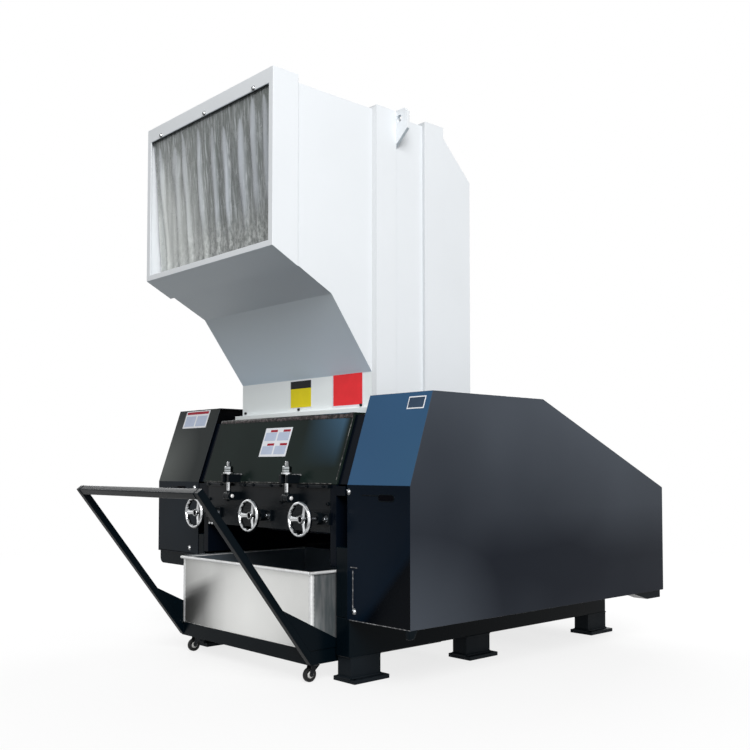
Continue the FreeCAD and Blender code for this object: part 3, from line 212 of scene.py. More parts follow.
def finish_paint(shader, rough, wave, peel):
    smear = shader.noise(9, 5, shader.stretched((1, 1, 0.35)))
    shader.roughness(smear, rough * 0.94, rough * 1.12)
    shader.bump((shader.noise(2.6, 1), wave), (shader.noise(420, 2), peel))


def neck_painted_light_and_shade(shader, tone):
    """Painted shade, grey under the mouth and bluer down the slanted neck, and painted light, pale
    on the neck's front.
    """
    height = shader.axes()[2]
    # Painted shade on faces that look down
    down = shader.facing(-Z, 0.2, 0.4)
    tone = shader.mix(down, tone, (0.60, 0.67, 0.72))
    lower = shader.product(down, shader.fall(height, 1.33, 1.60))
    tone = shader.mix(lower, tone, (0.76, 0.88, 0.99))
    # Painted light on the neck's front
    front = shader.product(shader.facing(-Y, 0.9, 0.97), shader.fall(height, 1.25, 1.45))
    return shader.mix(front, tone, (0.95, 1.0, 1.0))


def band_painted_shade(shader, tone):
    """Painted shade, greyer on the edges of the pressed bands that look forwards."""
    return shader.mix(shader.facing(-Y, 0.3, 0.6), tone, (0.60, 0.625, 0.645))


def guard_paint(name, front, slope, corner_painted_reflection, inner):
    """Glossy black sheet paint carrying painted light and reflection: painted light on the broad
    sides pales upwards, rearwards and at their low front corner; front and inner side are near
    black, the front with a darker painted reflection towards the lower right; a painted reflection
    on the slope pales towards its lower outer corner."""
    shader = Shader(name, Specular_IOR_Level=0.045)
    cloud = shader.noise(1.3, 2, rough=0.35)
    x, y, z = shader.axes()
    height = shader.remap(z, 0.0, 0.80, 0.50, 1.15)
    away = shader.distance((0, ORIGIN.y, 0.2), shader.stretched((0, 1, 1)))
    side_painted_light = shader.calculate("MAXIMUM", height, shader.remap(away, 0.58, 0.0, 0.08, 0.56))
    rear = shader.remap(y, 0.0, 0.40, ORIGIN.y + 0.2, ORIGIN.y + 1.2)
    side_painted_light = shader.calculate("MULTIPLY_ADD", rear, shader.rise(z, 0.45, 0.70), side_painted_light)
    side_painted_light = shader.calculate("ADD", side_painted_light, shader.remap(cloud, -0.16, 0.20))
    # Painted light and shade on the broad sides, uneven with the cloud
    tone = shader.ramp(side_painted_light, (0.0, GUARD_SIDE_PAINTED_SHADE), (1.0, GUARD_SIDE_PAINTED_LIGHT))
    lean = shader.calculate("MULTIPLY_ADD", x, -1.05, z)
    # Darker painted reflection towards the right guard's lower right front
    front_tone_with_painted_reflection = shader.mix(shader.fall(lean, -0.48, -0.43),
                            shader.clouded(cloud, front, 0.55, 1.5), tinted(front, 0.25))
    # Painted reflection on the slope, paler towards its lower outer corner
    outer = shader.distance(at(*on_slope(math.copysign(935, -inner.x), 900)))
    slope_painted_reflection_tone = shader.mix(shader.fall(outer, 0.0, 0.30),
                            shader.clouded(cloud, slope, 0.92, 1.10), corner_painted_reflection)
    tone = shader.mix(shader.facing(-Y, 0.965, 0.985), tone, front_tone_with_painted_reflection)
    tone = shader.mix(shader.facing(inner, 0.9, 0.97), tone, tinted(GUARD_SIDE_PAINTED_SHADE, 0.1))
    shader.colour(shader.mix(shader.facing(SLOPE_OUT, 0.975, 0.99), tone, slope_painted_reflection_tone))
    finish_paint(shader, 0.24, 0.0012, 0.00004)
    return shader.material


def lid_paint_with_painted_reflection(name, colour, glow):
    """Glossy green-black paint with a bluish painted reflection towards the upper right."""
    shader = Shader(name, Specular_IOR_Level=0.05)
    cloud = shader.noise(2.1, 3, shader.stretched((1, 1, 0.7)))
    x, _, z = shader.axes()
    # Painted reflection: higher up and between these widths
    amount = shader.rise(z, 0.88, 1.10)
    for start, end in ((0.20, 0.47), (0.494, 0.455)):
        amount = shader.product(amount, shader.rise(x, start, end))
    shader.colour(shader.mix(amount, shader.clouded(cloud, colour, 0.75, 1.3), glow))
    finish_paint(shader, 0.2, 0.0014, 0.00005)
    return shader.material


def worn_paint(name, colour, bare):
    """Black paint rubbed and chipped through to grey steel in places."""
    shader = Shader(name, Specular_IOR_Level=0.2, Roughness=0.45)
    chips = shader.noise(70, 6, rough=0.62)
    shader.colour(shader.ramp(chips, (0.50, colour), (0.56, bare)))
    shader.bump((chips, 0.0008), (shader.noise(240, 3), 0.0002))
    return shader.material


def brushed(name, colour, rough, stretch):
    """Rolled or brushed sheet, with marks along the least stretched axis."""
    shader = Shader(name, Metallic=1.0)
    marks = shader.noise(1, 3, shader.stretched(stretch))
    cloud = shader.noise(2.2, 5)
    shader.colour(shader.clouded(cloud, colour, 0.86, 1.1))
    mixed = shader.calculate("MULTIPLY_ADD", marks, 0.5, shader.remap(cloud, 0.0, 0.5))
    shader.roughness(mixed, rough * 0.7, rough * 1.35)
    shader.bump((shader.noise(3.1, 2), 0.0009), (marks, 0.00003))
    return shader.material


def bin_sheet(name, colour, inside):
    """Satin sheet, darker towards the left and in a wedge low on the left of its front, with a
    painted patch of light on the front, painted shade with streaks on its right side and painted
    shade inside.
    """
    shader = Shader(name, Metallic=0.55)
    marks = shader.noise(1, 3, shader.stretched((230, 230, 5)))
    cloud = shader.noise(2.4, 5)
    low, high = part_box("collecting_bin")
    x, y, z = shader.axes()
    warped = shader.calculate("MULTIPLY_ADD", cloud, 0.10, x)
    tone = shader.clouded(cloud, colour, 0.92, 1.10)
    tone = shader.mix(shader.fall(warped, low.x + 0.06, low.x + 0.30), tone, tinted(colour, 0.42))
    lean = shader.calculate("MULTIPLY_ADD", warped, -0.33, z)
    wedge = shader.product(shader.fall(lean, 0.410, 0.455),
                           shader.fall(warped, low.x + 0.14, low.x + 0.42))
    tone = shader.mix(wedge, tone, tinted(colour, 0.20))
    # Painted patch of light on the front
    painted_light_patch = shader.distance((0.04, low.y, 0.24))
    tone = shader.mix(shader.remap(painted_light_patch, 0.9, 0.0, 0.02, 0.36), tone, tinted(colour, 1.3))
    # Painted shade with streaks on the right side
    side_shade_streaks = shader.noise(1, 4, shader.stretched((52, 52, 9)))
    side_painted_shade = shader.ramp(side_shade_streaks, (0.36, (0.15, 0.175, 0.185)), (0.72, (0.29, 0.30, 0.305)))
    tone = shader.mix(shader.facing(X, 0.8, 0.95), tone, side_painted_shade)
    side, front, sheet = SIDE_LIP * MM, FRONT_LIP * MM, 0.003
    # Painted shade on the inside of the walls
    inside_painted_shade_mask = shader.rise(z, low.z + 0.4 * sheet, low.z + 0.8 * sheet)
    for source, face, way in ((x, low.x + side, 1), (x, high.x - side, -1), (y, low.y + front, 1)):
        within = shader.rise(source, face + way * sheet * 0.3, face + way * sheet * 0.6)
        inside_painted_shade_mask = shader.product(inside_painted_shade_mask, within)
    shader.colour(shader.mix(inside_painted_shade_mask, tone, inside))
    shader.roughness(marks, 0.30, 0.38)
    shader.bump((shader.noise(3.1, 2), 0.0009), (marks, 0.000008))
    return shader.material


def plated(name, colour, rough, metal=1.0):
    """Zinc or bare steel on a turned or cast piece, with faint marks."""
    shader = Shader(name, Metallic=metal)
    shader.colour(shader.clouded(shader.noise(34, 4), colour, 0.86, 1, 0.25, 0.75))
    finish_plating(shader, rough)
    return shader.material


def chromed(name, colour, rough):
    """Polished chrome with painted reflection: light and dark bands set by the way the surface
    faces, like those it picks up in a workshop.
    """
    shader = Shader(name, Metallic=1.0)
    painted_reflection_band = shader.facing(CHROME_PAINTED_REFLECTION_UP, -1.0, 1.0)
    stops = ((0.0, 0.10), (0.30, 0.04), (0.46, 0.20), (0.58, 0.62), (0.64, 0.60), (0.675, 0.30),
             (0.72, 0.50), (0.78, 1.0), (0.86, 0.80), (0.92, 0.62), (0.96, 0.30), (1.0, 0.7))
    shader.colour(shader.ramp(painted_reflection_band, *((place, tinted(colour, share)) for place, share in stops)))
    finish_plating(shader, rough)
    return shader.material


def finish_plating(shader, rough):
    shader.roughness(shader.noise(120, 5), rough * 0.6, rough * 1.6)
    shader.bump((shader.noise(60, 3), 0.00012), (shader.noise(700, 2), 0.00001))


def moulded(name, colour, rough, specular=0.5, spread=0.1):
    """Plain moulded plastic or rubber with a fine matt grain."""
    shader = Shader(name, Specular_IOR_Level=specular)
    shader.colour(shader.clouded(shader.noise(25, 4), colour, 1 - spread, 1 + spread))
    shader.roughness(shader.noise(90, 4), rough * 0.85, min(1.0, rough * 1.15))
    shader.bump((shader.noise(800, 3), 0.00004))
    return shader.material


def vinyl(name):
    """Clear soft sheet gone slightly grey; painted highlights make it pale along its folds, and it
    is pale where it is creased.
    """
    shader = Shader(name, Alpha=0.86, Specular_IOR_Level=0.5)
    fold, crumple, haze = (shader.add("ShaderNodeAttribute", attribute_name=mark)["Fac"]
                           for mark in CURTAIN_MARKS)
    hairs = shader.noise(1, 5, shader.stretched((150, 60, 9)), rough=0.6)
    creases = shader.noise(85, 6, shader.stretched((1, 1, 0.45)), rough=0.68)
    cloud = shader.noise(5, 3, shader.stretched((1, 1, 0.4)))
    back = shader.ramp(cloud, (0.3, (0.125, 0.145, 0.135)), (0.7, (0.205, 0.225, 0.225)))
    streaks = shader.ramp(hairs, (0.46, (0.13, 0.15, 0.145)), (0.62, (0.50, 0.53, 0.55)))
    pale = shader.ramp(cloud, (0.3, (0.44, 0.47, 0.50)), (0.7, (0.54, 0.58, 0.63)))
    white = shader.ramp(creases, (0.42, (0.22, 0.235, 0.225)), (0.62, (0.62, 0.64, 0.63)))
    tone = shader.mix(shader.remap(hairs, 0.0, 0.85, 0.40, 0.62), back, streaks)
    # Painted highlights: pale along the folds
    tone = shader.mix(crumple, shader.mix(fold, tone, pale), white)
    shader.colour(shader.mix(haze, tone, (0.70, 0.73, 0.71)))
    shader.roughness(shader.noise(14, 4), 0.16, 0.36)
    shader.bump((hairs, 0.0010), (creases, 0.0012))
    return shader.material


# Direction of the bright part of the chrome's painted reflection
CHROME_PAINTED_REFLECTION_UP = Vector((0.45, -0.35, 0.82)).normalized()
# What the curtain's mesh tells its material at each point
CURTAIN_MARKS = ("fold", "crumple", "haze")

HOPPER_LOOK = {"colour": (0.80, 0.832, 0.86), "rough": 0.36, "specular": 0.25, "wave": 0.0010,
               "spread": 0.02}
# The hopper's white carries painted shade on faces that look down and painted light on the neck's
# front
WHITE = paint("hopper_white", shade=neck_painted_light_and_shade, **HOPPER_LOOK)
# A copy of the hopper's white with painted shade on the bands' forward edges
BANDS_PAINTED_SHADE = paint("band_white_painted_shade", shade=band_painted_shade, **HOPPER_LOOK)
# Side tones of painted shade and painted light; the slope colours and corner tones in the calls
# below are painted reflection
GUARD_SIDE_PAINTED_SHADE, GUARD_SIDE_PAINTED_LIGHT = (0.012, 0.015, 0.022), (0.075, 0.087, 0.106)
RIGHT_GUARD = guard_paint("right_guard_paint", (0.0012, 0.0050, 0.0115), (0.037, 0.100, 0.200),
                          corner_painted_reflection=(0.037, 0.100, 0.190), inner=-X)
LEFT_GUARD = guard_paint("left_guard_paint", (0.008, 0.013, 0.019), (0.026, 0.031, 0.031),
                         corner_painted_reflection=(0.115, 0.125, 0.120), inner=X)
# The glow colour is the painted reflection
LID = lid_paint_with_painted_reflection("lid_paint_with_painted_reflection", (0.009, 0.016, 0.014), glow=(0.050, 0.115, 0.185))
CHAMBER = paint("chamber_black", (0.002, 0.004, 0.008), 0.22, specular=0.045, wave=0.0012)
FRAME = paint("frame_black", (0.0012, 0.0040, 0.0065), 0.28, specular=0.05, wave=0.0008)
FOOT = paint("foot_black", (0.005, 0.008, 0.011), 0.6, specular=0.10, wave=0.003, peel=0.0008)
CAST = paint("cast_black", (0.003, 0.005, 0.007), 0.30, specular=0.10, wave=0.0004, peel=0.0003)
MOTOR = paint("motor_grey", (0.10, 0.13, 0.16), 0.38, specular=0.3, peel=0.00012)
WELD_DARK = worn_paint("dark_weld", (0.014, 0.012, 0.012), (0.085, 0.068, 0.070))
WORN = worn_paint("worn_black", (0.008, 0.009, 0.009), (0.16, 0.16, 0.15))
# Worn light paint for the lug welds, and painted highlight on the right guard's edge lines
WORN_LIGHT_AND_HIGHLIGHT = worn_paint("worn_edge_and_highlight", (0.10, 0.10, 0.105), (0.32, 0.32, 0.33))
# The inside colour is painted shade
SHEET = bin_sheet("bin_steel", (0.70, 0.705, 0.69), inside=(0.15, 0.18, 0.21))
SCREEN = brushed("screen_steel", (0.25, 0.25, 0.25), 0.45, (4, 200, 200))
WELD = plated("weld_steel", (0.80, 0.80, 0.79), 0.34)
LIP = plated("bin_lip_steel", (0.86, 0.87, 0.87), 0.4, metal=0.3)
CHROME = chromed("chrome", (0.86, 0.88, 0.90), 0.12)
NUT = chromed("nut_steel", (0.38, 0.41, 0.42), 0.22)
BRIGHT = plated("bright_steel", (0.88, 0.88, 0.88), 0.3, metal=0.2)
ZINC = plated("zinc", (0.62, 0.63, 0.64), 0.28)
DULL = plated("dull_steel", (0.15, 0.16, 0.17), 0.3)
SCREW = plated("black_oxide", (0.03, 0.032, 0.035), 0.4)
RUBBER = moulded("rubber_black", (0.012, 0.012, 0.012), 0.6, specular=0.2)
NYLON = moulded("caster_nylon", (0.60, 0.60, 0.58), 0.42)
VINYL = vinyl("clear_vinyl")
YELLOW, RED, CRIMSON, PALE, BLUE, SLATE, DARK = (
    moulded("plate_" + name, colour, 0.4, specular=0.1, spread=spread) for name, colour, spread in (
        ("yellow", (0.90, 0.75, 0.02), 0.03), ("red", (0.92, 0.042, 0.05), 0.04),
        ("crimson", (0.36, 0.012, 0.03), 0.04), ("white", (0.84, 0.86, 0.90), 0.02),
        ("blue", (0.52, 0.59, 0.74), 0.04), ("slate", (0.035, 0.06, 0.10), 0.1),
        ("black", (0.012, 0.012, 0.014), 0.1)))
# Black that stands for painted shade in hollows and holes, and for a dark seam joint
SHADE_AND_JOINT_BLACK = moulded("shade_and_joint_black", (0.001, 0.001, 0.002), 0.8, specular=0.03)


# Mesh building


def circle(centre, one, two, sides):
    """Points around a centre, with two half axes."""
    return [centre + one * math.cos(angle) + two * math.sin(angle)
            for angle in (math.tau * step / sides for step in range(sides))]


def spun(x, angle, radius):
    """A point at an angle around the X axis."""
    return Vector((x, radius * math.cos(angle), radius * math.sin(angle)))


def place_in_scene(name, data):
    made = bpy.data.objects.new(name, data)
    bpy.context.scene.collection.objects.link(made)
    return made


class Builder:
    """Gathers shapes in millimetres from an origin and turns them into one piece."""

    def __init__(self, *origin):
        self.mesh = bmesh.new()
        self.origin = Vector(origin or HERE)

    def loft(self, rings, closed=True, caps=True):
        """Skin over rows of points with the same count."""
        rows = [[self.mesh.verts.new(at(*(self.origin + Vector(point)))) for point in points]
                for points in rings]
        count = len(rows[0])
        for one, two in zip(rows, rows[1:]):
            for index in range(count if closed else count - 1):
                after = (index + 1) % count
                self.mesh.faces.new((one[index], one[after], two[after], two[index]))
        if caps:
            self.mesh.faces.new(rows[0][::-1])
            self.mesh.faces.new(rows[-1])

    def prism(self, outline, shift):
        """A closed outline of 3-D points taken along a shift."""
        points = [Vector(point) for point in outline]
        self.loft([points, [point + Vector(shift) for point in points]])

    def box(self, low, high):
        (x0, y0, z0), (x1, y1, z1) = low, high
        self.prism([(x0, y0, z0), (x1, y0, z0), (x1, y1, z0), (x0, y1, z0)], (0, 0, z1 - z0))

    def lathe(self, centre, axis, profile, sides=32):
        """(distance along the axis, radius) pairs turned about the axis."""
        across = axis.orthogonal().normalized()
        up = axis.cross(across)
        self.loft([circle(Vector(centre) + axis * along, across * radius, up * radius, sides)
                   for along, radius in profile])

    def tube(self, path, radius, sides=12, closed=False):
        """A round tube through points; radius may be a function of the step."""
        path = [Vector(point) for point in path]
        count = len(path)
        rings = []
        across = None
        for index, point in enumerate(path):
            before = path[index - 1] if closed or index else point
            after = path[(index + 1) % count] if closed or index < count - 1 else point
            tangent = (after - before).normalized()
            across = across or tangent.orthogonal()
            across = (across - tangent * across.dot(tangent)).normalized()
            size = radius(index) if callable(radius) else radius
            rings.append(circle(point, across * size, tangent.cross(across) * size, sides))
        if closed:
            rings.append(rings[0])
        self.loft(rings, caps=not closed)

    def piece(self, name, material, slot, body="machine", bevel=0.0, angle=32):
        mesh = bpy.data.meshes.new(name)
        bmesh.ops.recalc_face_normals(self.mesh, faces=self.mesh.faces)
        self.mesh.to_mesh(mesh)
        self.mesh.free()
        mesh.materials.append(material)
        mesh.shade_smooth()
        mesh.set_sharp_from_angle(angle=math.radians(angle))
        made = place_in_scene(name, mesh)
        if bevel:
            soften(made, bevel, weld=False)
        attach(made, body)
        return made


WASHER = 2


def make_bolts(name, places, axis, width, height, material=ZINC, slot="zinc_steel", base=WASHER):
    """Hexagon heads with a chamfered top, on washers unless the base is 0."""
    bolts = Builder()
    for place in places:
        if base:
            bolts.lathe(place, axis, [(0, width * 0.95), (base, width * 0.95)], 24)
        bolts.lathe(place, axis, [(base, width * 0.56), (base + height * 0.85, width * 0.56),
                                  (base + height, width * 0.48)], 6)
    bolts.piece(name, material, slot, angle=25)


def make_domes(name, slot, places, radius):
    """Chromed round heads with a small socket that look forwards."""
    domes = Builder()
    outline = ((0, 1.25), (0.96, 1.25), (0.96, 1), (4, 0.93), (6.56, 0.7), (8, 0.42), (4.4, 0.36))
    for place in places:
        domes.lathe(place, -Y, [(up, radius * out) for up, out in outline], 24)
    domes.piece(name, CHROME, slot)


def make_beads(name, material, slot, runs, body="machine"):
    """Weld beads, lumpy half-sunk tubes, along (start, end, radius) runs."""
    beads = Builder()
    for start, end, radius in runs:
        start, end = Vector(start), Vector(end)
        steps = max(4, int((end - start).length / (radius * 1.1)))
        beads.tube([start.lerp(end, step / steps) for step in range(steps + 1)],
                   lambda step: radius * (1.0 if step % 2 else 0.82), 8)
    beads.piece(name, material, slot, body)


SHARP_ANGLE = 50


def make_sharp_edges():
    """A node group that smooths all faces and keeps strong edges sharp."""
    group = bpy.data.node_groups.new("sharp_edges", "GeometryNodeTree")
    for way in ("INPUT", "OUTPUT"):
        group.interface.new_socket("Geometry", in_out=way, socket_type="NodeSocketGeometry")
    nodes = Nodes(group)
    angle = nodes.add("GeometryNodeInputMeshEdgeAngle")["Unsigned Angle"]
    wide = nodes.add("FunctionNodeCompare", {0: angle, 1: math.radians(SHARP_ANGLE)},
                     operation="GREATER_THAN")["Result"]
    smooth = nodes.add("GeometryNodeSetShadeSmooth", {0: nodes.add("NodeGroupInput")[0]})[0]
    sharp = nodes.add("GeometryNodeSetShadeSmooth",
                      {0: smooth, "Selection": wide, "Shade Smooth": False}, domain="EDGE")
    nodes.add("NodeGroupOutput", {0: sharp[0]})
    return group


SHARP_EDGES = make_sharp_edges()


def soften(thing, width, weld=True, fold=32):
    """Rounds the edges of a flat-sided piece with modifiers alone."""
    def modifier(name, kind, **settings):
        made = thing.modifiers.new(name, kind)
        for key, value in settings.items():
            setattr(made, key, value)

    if weld:
        modifier("weld", "WELD", merge_threshold=0.00002)
        modifier("flat", "DECIMATE", decimate_type="DISSOLVE", angle_limit=math.radians(0.6))
    modifier("bevel", "BEVEL", width=width * MM, segments=2, limit_method="ANGLE",
             angle_limit=math.radians(fold), use_clamp_overlap=True)
    modifier("sharpen", "NODES", node_group=SHARP_EDGES)
    modifier("shade", "WEIGHTED_NORMAL", keep_sharp=True)


# CAD nodes that keep their shape: material, edge softening in millimetres, names
FINISHES = (
    (FRAME, 4, "base_rail_left base_rail_right pedestal_left pedestal_right cross_beams"),
    (FRAME, 3, "trolley_base trolley_handle"),
    (FRAME, 2, "left_guard_tray right_guard_pan motor_plate"),
    (FRAME, 1, "handle_gussets"),
    (FOOT, 3, "feet_left feet_right"),
    (CHAMBER, 2.5, "upper_housing"),
    (CHAMBER, 2, "chamber_side_left chamber_side_right chamber_rear_wall"),
    (CAST, 1.5, "front_bar screen_door"),
    (CHROME, 1, "pivot_pins"),
    (SCREEN, 0, "screen"),
    (WHITE, 2, "hopper_rim"),
    (WHITE, 1.5, "hopper_flange lifting_ears"),
    (WHITE, 0, "hopper_side_left hopper_side_right hopper_back hopper_underside"),
    (LEFT_GUARD, 4, "left_guard"),
    (RIGHT_GUARD, 4, "right_guard"),
    (SHEET, 1.4, "collecting_bin"),
)

# Nodes without round faces, where slight folds are rounded too
FOLDED = ("left_guard", "right_guard", "upper_housing", "hopper_rim")


def dress_nodes():
    for material, edge, nodes in FINISHES:
        for node in nodes.split():
            thing = NODES[node]
            thing.data.materials.clear()
            thing.data.materials.append(material)
            if edge:
                soften(thing, edge, fold=12 if node in FOLDED else 32)


# Hopper

BAND_BEVEL = 12
BAND_WIDTH = 135


def make_hopper_bands():
    """Pressed bands around the duct; the outer long edges of the pair are bevelled."""
    low, high = extent("hopper_bands")
    duct = extent("hopper_side_right")[1]
    proud = high.x - duct.x
    builder = Builder()
    front_profile = [(0, 0), (BAND_BEVEL, proud), (BAND_WIDTH - 3, proud), (BAND_WIDTH, proud - 3),
                     (BAND_WIDTH, 0)]
    rear_profile = [(0, 0), (0, proud - 3), (3, proud), (BAND_WIDTH - BAND_BEVEL, proud),
                    (BAND_WIDTH, 0)]
    for start, profile in ((low.y, front_profile), (high.y - BAND_WIDTH, rear_profile)):
        rows = []
        for along, out in profile:
            half, top, y = duct.x + out, duct.z + out, start + along
            rows.append([(-half, y, low.z), (-half, y, top), (half, y, top), (half, y, low.z)])
        builder.loft(rows, closed=False, caps=False)
    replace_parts(builder.piece("hopper_band_pair", BANDS_PAINTED_SHADE, "hopper_white", angle=20), "hopper_bands")


CURTAIN_COLUMNS, CURTAIN_ROWS = 300, 110
CURTAIN_FOLDS = 9
# Shares of the sheet's width and height; "tall" in millimetres
FOLD_SPANS = {"wide": (0.017, 0.030), "top": (0.05, 0.17), "end": (0.70, 0.86),
              "lean": (-0.012, 0.012), "tall": (8, 13)}
CURTAIN_TOP, CURTAIN_FOOT = -34, 20


def curtain_wave(folds, across, down):
    """Depth of the sheet at a place of it, and how far that place belongs to a fold."""
    depth, mark = 0.0, 0.0
    for fold in folds:
        inside = (down - fold["top"]) / (fold["end"] - fold["top"])
        if inside <= 0:
            continue
        wide = fold["wide"] * min(1.0, (inside / 0.16) ** 0.6)
        wide *= 1.0 - 0.35 * max(0.0, min(1.0, inside) - 0.5)
        centre = fold["place"] + fold["lean"] * math.sin(2.6 * down + fold["place"] * 40)
        ridge = math.exp(-abs((across - centre) / wide) ** 2.6)
        depth -= fold["tall"] * ridge * min(1.0, 3 * inside)
        mark = max(mark, ridge * clamp((1.12 - inside) / 0.30))
    depth += 2.2 * math.sin(across * 57 + 2.4 * math.sin(down * 5.1 + across * 9))
    depth += 1.2 * math.sin(across * 131 + down * 7.3)
    crumple = max(0.0, down - 0.80) / 0.20
    depth += 5.0 * crumple * math.sin(across * 83 + down * 61) * math.sin(down * 37)
    return depth * min(1.0, 0.15 + down * 3), mark


def make_curtain():
    """Clear soft sheet that hangs in the mouth in tall, fairly regular folds."""
    low, high = extent("curtain")
    width, height = high.x - low.x, high.z - low.z
    middle = (low.y + high.y) / 2
    folds = []
    for number in range(CURTAIN_FOLDS):
        place = (number + 0.62 + random.uniform(-0.16, 0.16)) / CURTAIN_FOLDS
        folds.append({key: random.uniform(*span) for key, span in FOLD_SPANS.items()})
        folds[-1]["place"] = place
    rows, marks = [], []
    for row in range(CURTAIN_ROWS + 1):
        down = row / CURTAIN_ROWS
        swing = CURTAIN_TOP + (CURTAIN_FOOT - CURTAIN_TOP) * down
        points = []
        for column in range(CURTAIN_COLUMNS + 1):
            across = column / CURTAIN_COLUMNS
            depth, mark = curtain_wave(folds, across, down)
            points.append((low.x + width * across, middle + depth + swing, high.z - height * down))
            marks.append((mark, clamp((down - 0.70) / 0.22) * 0.8,
                          max(0.0, 1 - across / 0.55) * min(1.0, down / 0.6) ** 1.2))
        rows.append(points)
    builder = Builder()
    builder.loft(rows, closed=False, caps=False)
    curtain = builder.piece("curtain_sheet", VINYL, "curtain_clear", angle=60)
    for name, values in zip(CURTAIN_MARKS, zip(*marks)):
        curtain.data.attributes.new(name, "FLOAT", "POINT").data.foreach_set("value", values)
    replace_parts(curtain, "curtain")


MOUTH_TOP_BAND = 64


def make_hopper_fittings():
    rim_low, rim_high = extent("hopper_rim")
    make_domes("mouth_bolts", "zinc_steel",
               [(across, rim_low.y, rim_high.z - 54) for across in (-380, -5, 368)], 9)
    opening = rim_high.z - MOUTH_TOP_BAND
    # Dark clamp strip, whose darkness also stands in for the shaded gap behind the mouth's top band
    strip = Builder()
    strip.box((-474, rim_low.y + 6, opening - 2.5), (474, rim_low.y + 9.5, opening + 9))
    strip.piece("curtain_clamp_and_painted_shade", DARK, "frame_black", bevel=1)
    low, high = extent("hopper_flange")
    make_bolts("neck_bolts", [(across, NECK_FRONT, high.z + 14) for across in (-462, -22, 424)],
               -Y, 12, 8, DARK, "frame_black", base=0)
    places = [(side * (high.x - 12), low.y + 60 + step * (high.y - low.y - 120) / 6, high.z)
              for step in range(7) for side in (-1, 1)]
    places += [(-440 + step * 110, high.y - 12, high.z) for step in range(9)]
    make_bolts("flange_bolts", places, Z, 10, 7)
    low, high = extent("lifting_ears")
    half = extent("hopper_side_right")[1].x
    make_beads("ear_welds", WHITE, "hopper_white",
               [((x, y, low.z + 4), (x, y, high.z - 26), 3)
                for x in (-half, half) for y in (low.y, high.y)])
    make_beads("rim_seams", WHITE, "hopper_white",
               [((x, rim_high.y, 1790), (x, rim_high.y, 2466), 1.6) for x in (-half, half)])


# Plates: blank coloured labels on the machine's faces


def blank_plate(name, corner, across, up, width, height, base, patches):
    """A thin blank plate with plain coloured patches: (left, bottom, right, top, material) as
    shares of the plate."""
    corner, across, up = Vector(corner), Vector(across).normalized(), Vector(up).normalized()
    out = across.cross(up)
    layers = [(name, (0, 0, 1, 1), base, 0.8)]
    for index, (*shares, material) in enumerate(patches, start=1):
        layers.append((f"{name}_patch_{index}", shares, material, 1.2))
    for title, (left, low, right, high), material, thick in layers:
        place = corner + across * left * width + up * low * height
        wide, tall = across * (right - left) * width, up * (high - low) * height
        builder = Builder()
        builder.prism([place, place + wide, place + wide + tall, place + tall], out * thick)
        builder.piece(title, material, "hopper_white", bevel=0.3)


def make_plates():
    blank_plate("yellow_plate", (-92, NECK_FRONT, 1166), X, Z, 166, 134, PALE,
                [(0.03, 0.03, 0.97, 0.70, YELLOW), (0.03, 0.70, 0.97, 0.97, DARK)])
    blank_plate("red_plate", (223, NECK_FRONT, 1156), X, Z, 216, 156, PALE,
                [(0.04, 0.05, 0.96, 0.95, RED)])
    quarters = []
    for left in (0.05, 0.53):
        for low in (0.08, 0.55):
            quarters.append((left, low, left + 0.42, low + 0.29, BLUE))
            quarters.append((left + 0.16, low + 0.30, left + 0.42, low + 0.38, CRIMSON))
    blank_plate("lid_plate", on_slope(-101, 934), X, SLOPE_UP, 205, 142, PALE, quarters)
    blank_plate("left_guard_plate", on_slope(-872, 1091), X, SLOPE_UP, 226, 96, PALE,
                [(0.04, 0.80, 0.96, 0.95, CRIMSON), (0.05, 0.10, 0.47, 0.70, BLUE),
                 (0.53, 0.10, 0.95, 0.70, BLUE)])
    blank_plate("right_guard_plate", on_slope(826, 1118), X, SLOPE_UP, 96, 54, PALE,
                [(0.05, 0.09, 0.95, 0.91, SLATE)])


# Lid, front bar and screen door

CLAMPS = (-227, 227)
PIVOT_Y, PIVOT_Z = -40, 750
WHEEL_PLACES = {"left": (-410, -112), "centre": (0, -83), "right": (410, -112)}
WHEEL_Z = 667
LID_SHEET, LID_LEDGE = 12, 12
LID_WELD_STEPS = 200


def make_lid():
    """Folded sheet whose ledge runs in under the hopper's flange, and a slotted lug per clamp."""
    low, high = extent("lid")
    depth = (high.z - FOLD_HEIGHT) * SLOPE_RUN / SLOPE_RISE
    behind = LID_SHEET * math.hypot(SLOPE_RUN, SLOPE_RISE) / SLOPE_RISE
    under = high.z - LID_LEDGE
    inner = (under - FOLD_HEIGHT) * SLOPE_RUN / SLOPE_RISE + behind
    outline = [(0, low.z), (depth, high.z), (high.y, high.z), (high.y, under), (inner, under),
               (behind, low.z)]
    sheet, lugs = Builder(), Builder()
    sheet.prism([(low.x, y, z) for y, z in outline], (high.x - low.x, 0, 0))
    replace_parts(sheet.piece("lid_sheet", LID, "chamber_black", bevel=1.5), "lid")
    outline = [(-32, 13.6), (-32, low.y), (-15, low.y), (-15, -25), (15, -25), (15, low.y),
               (32, low.y), (32, 13.6)]
    spots = []
    for across in CLAMPS:
        lugs.prism([(across + x, y, 815) for x, y in outline], (0, 0, 37))
        spots += [((across + 31, 4, 851), (across + 31, 13, 852), 4),
                  ((across - 30, 10, 853), (across + 30, 10, 853), 2.2)]
    lugs.piece("lid_lugs", CAST, "chamber_black", bevel=2)
    make_beads("lug_welds", WORN_LIGHT_AND_HIGHLIGHT, "chamber_black", spots)


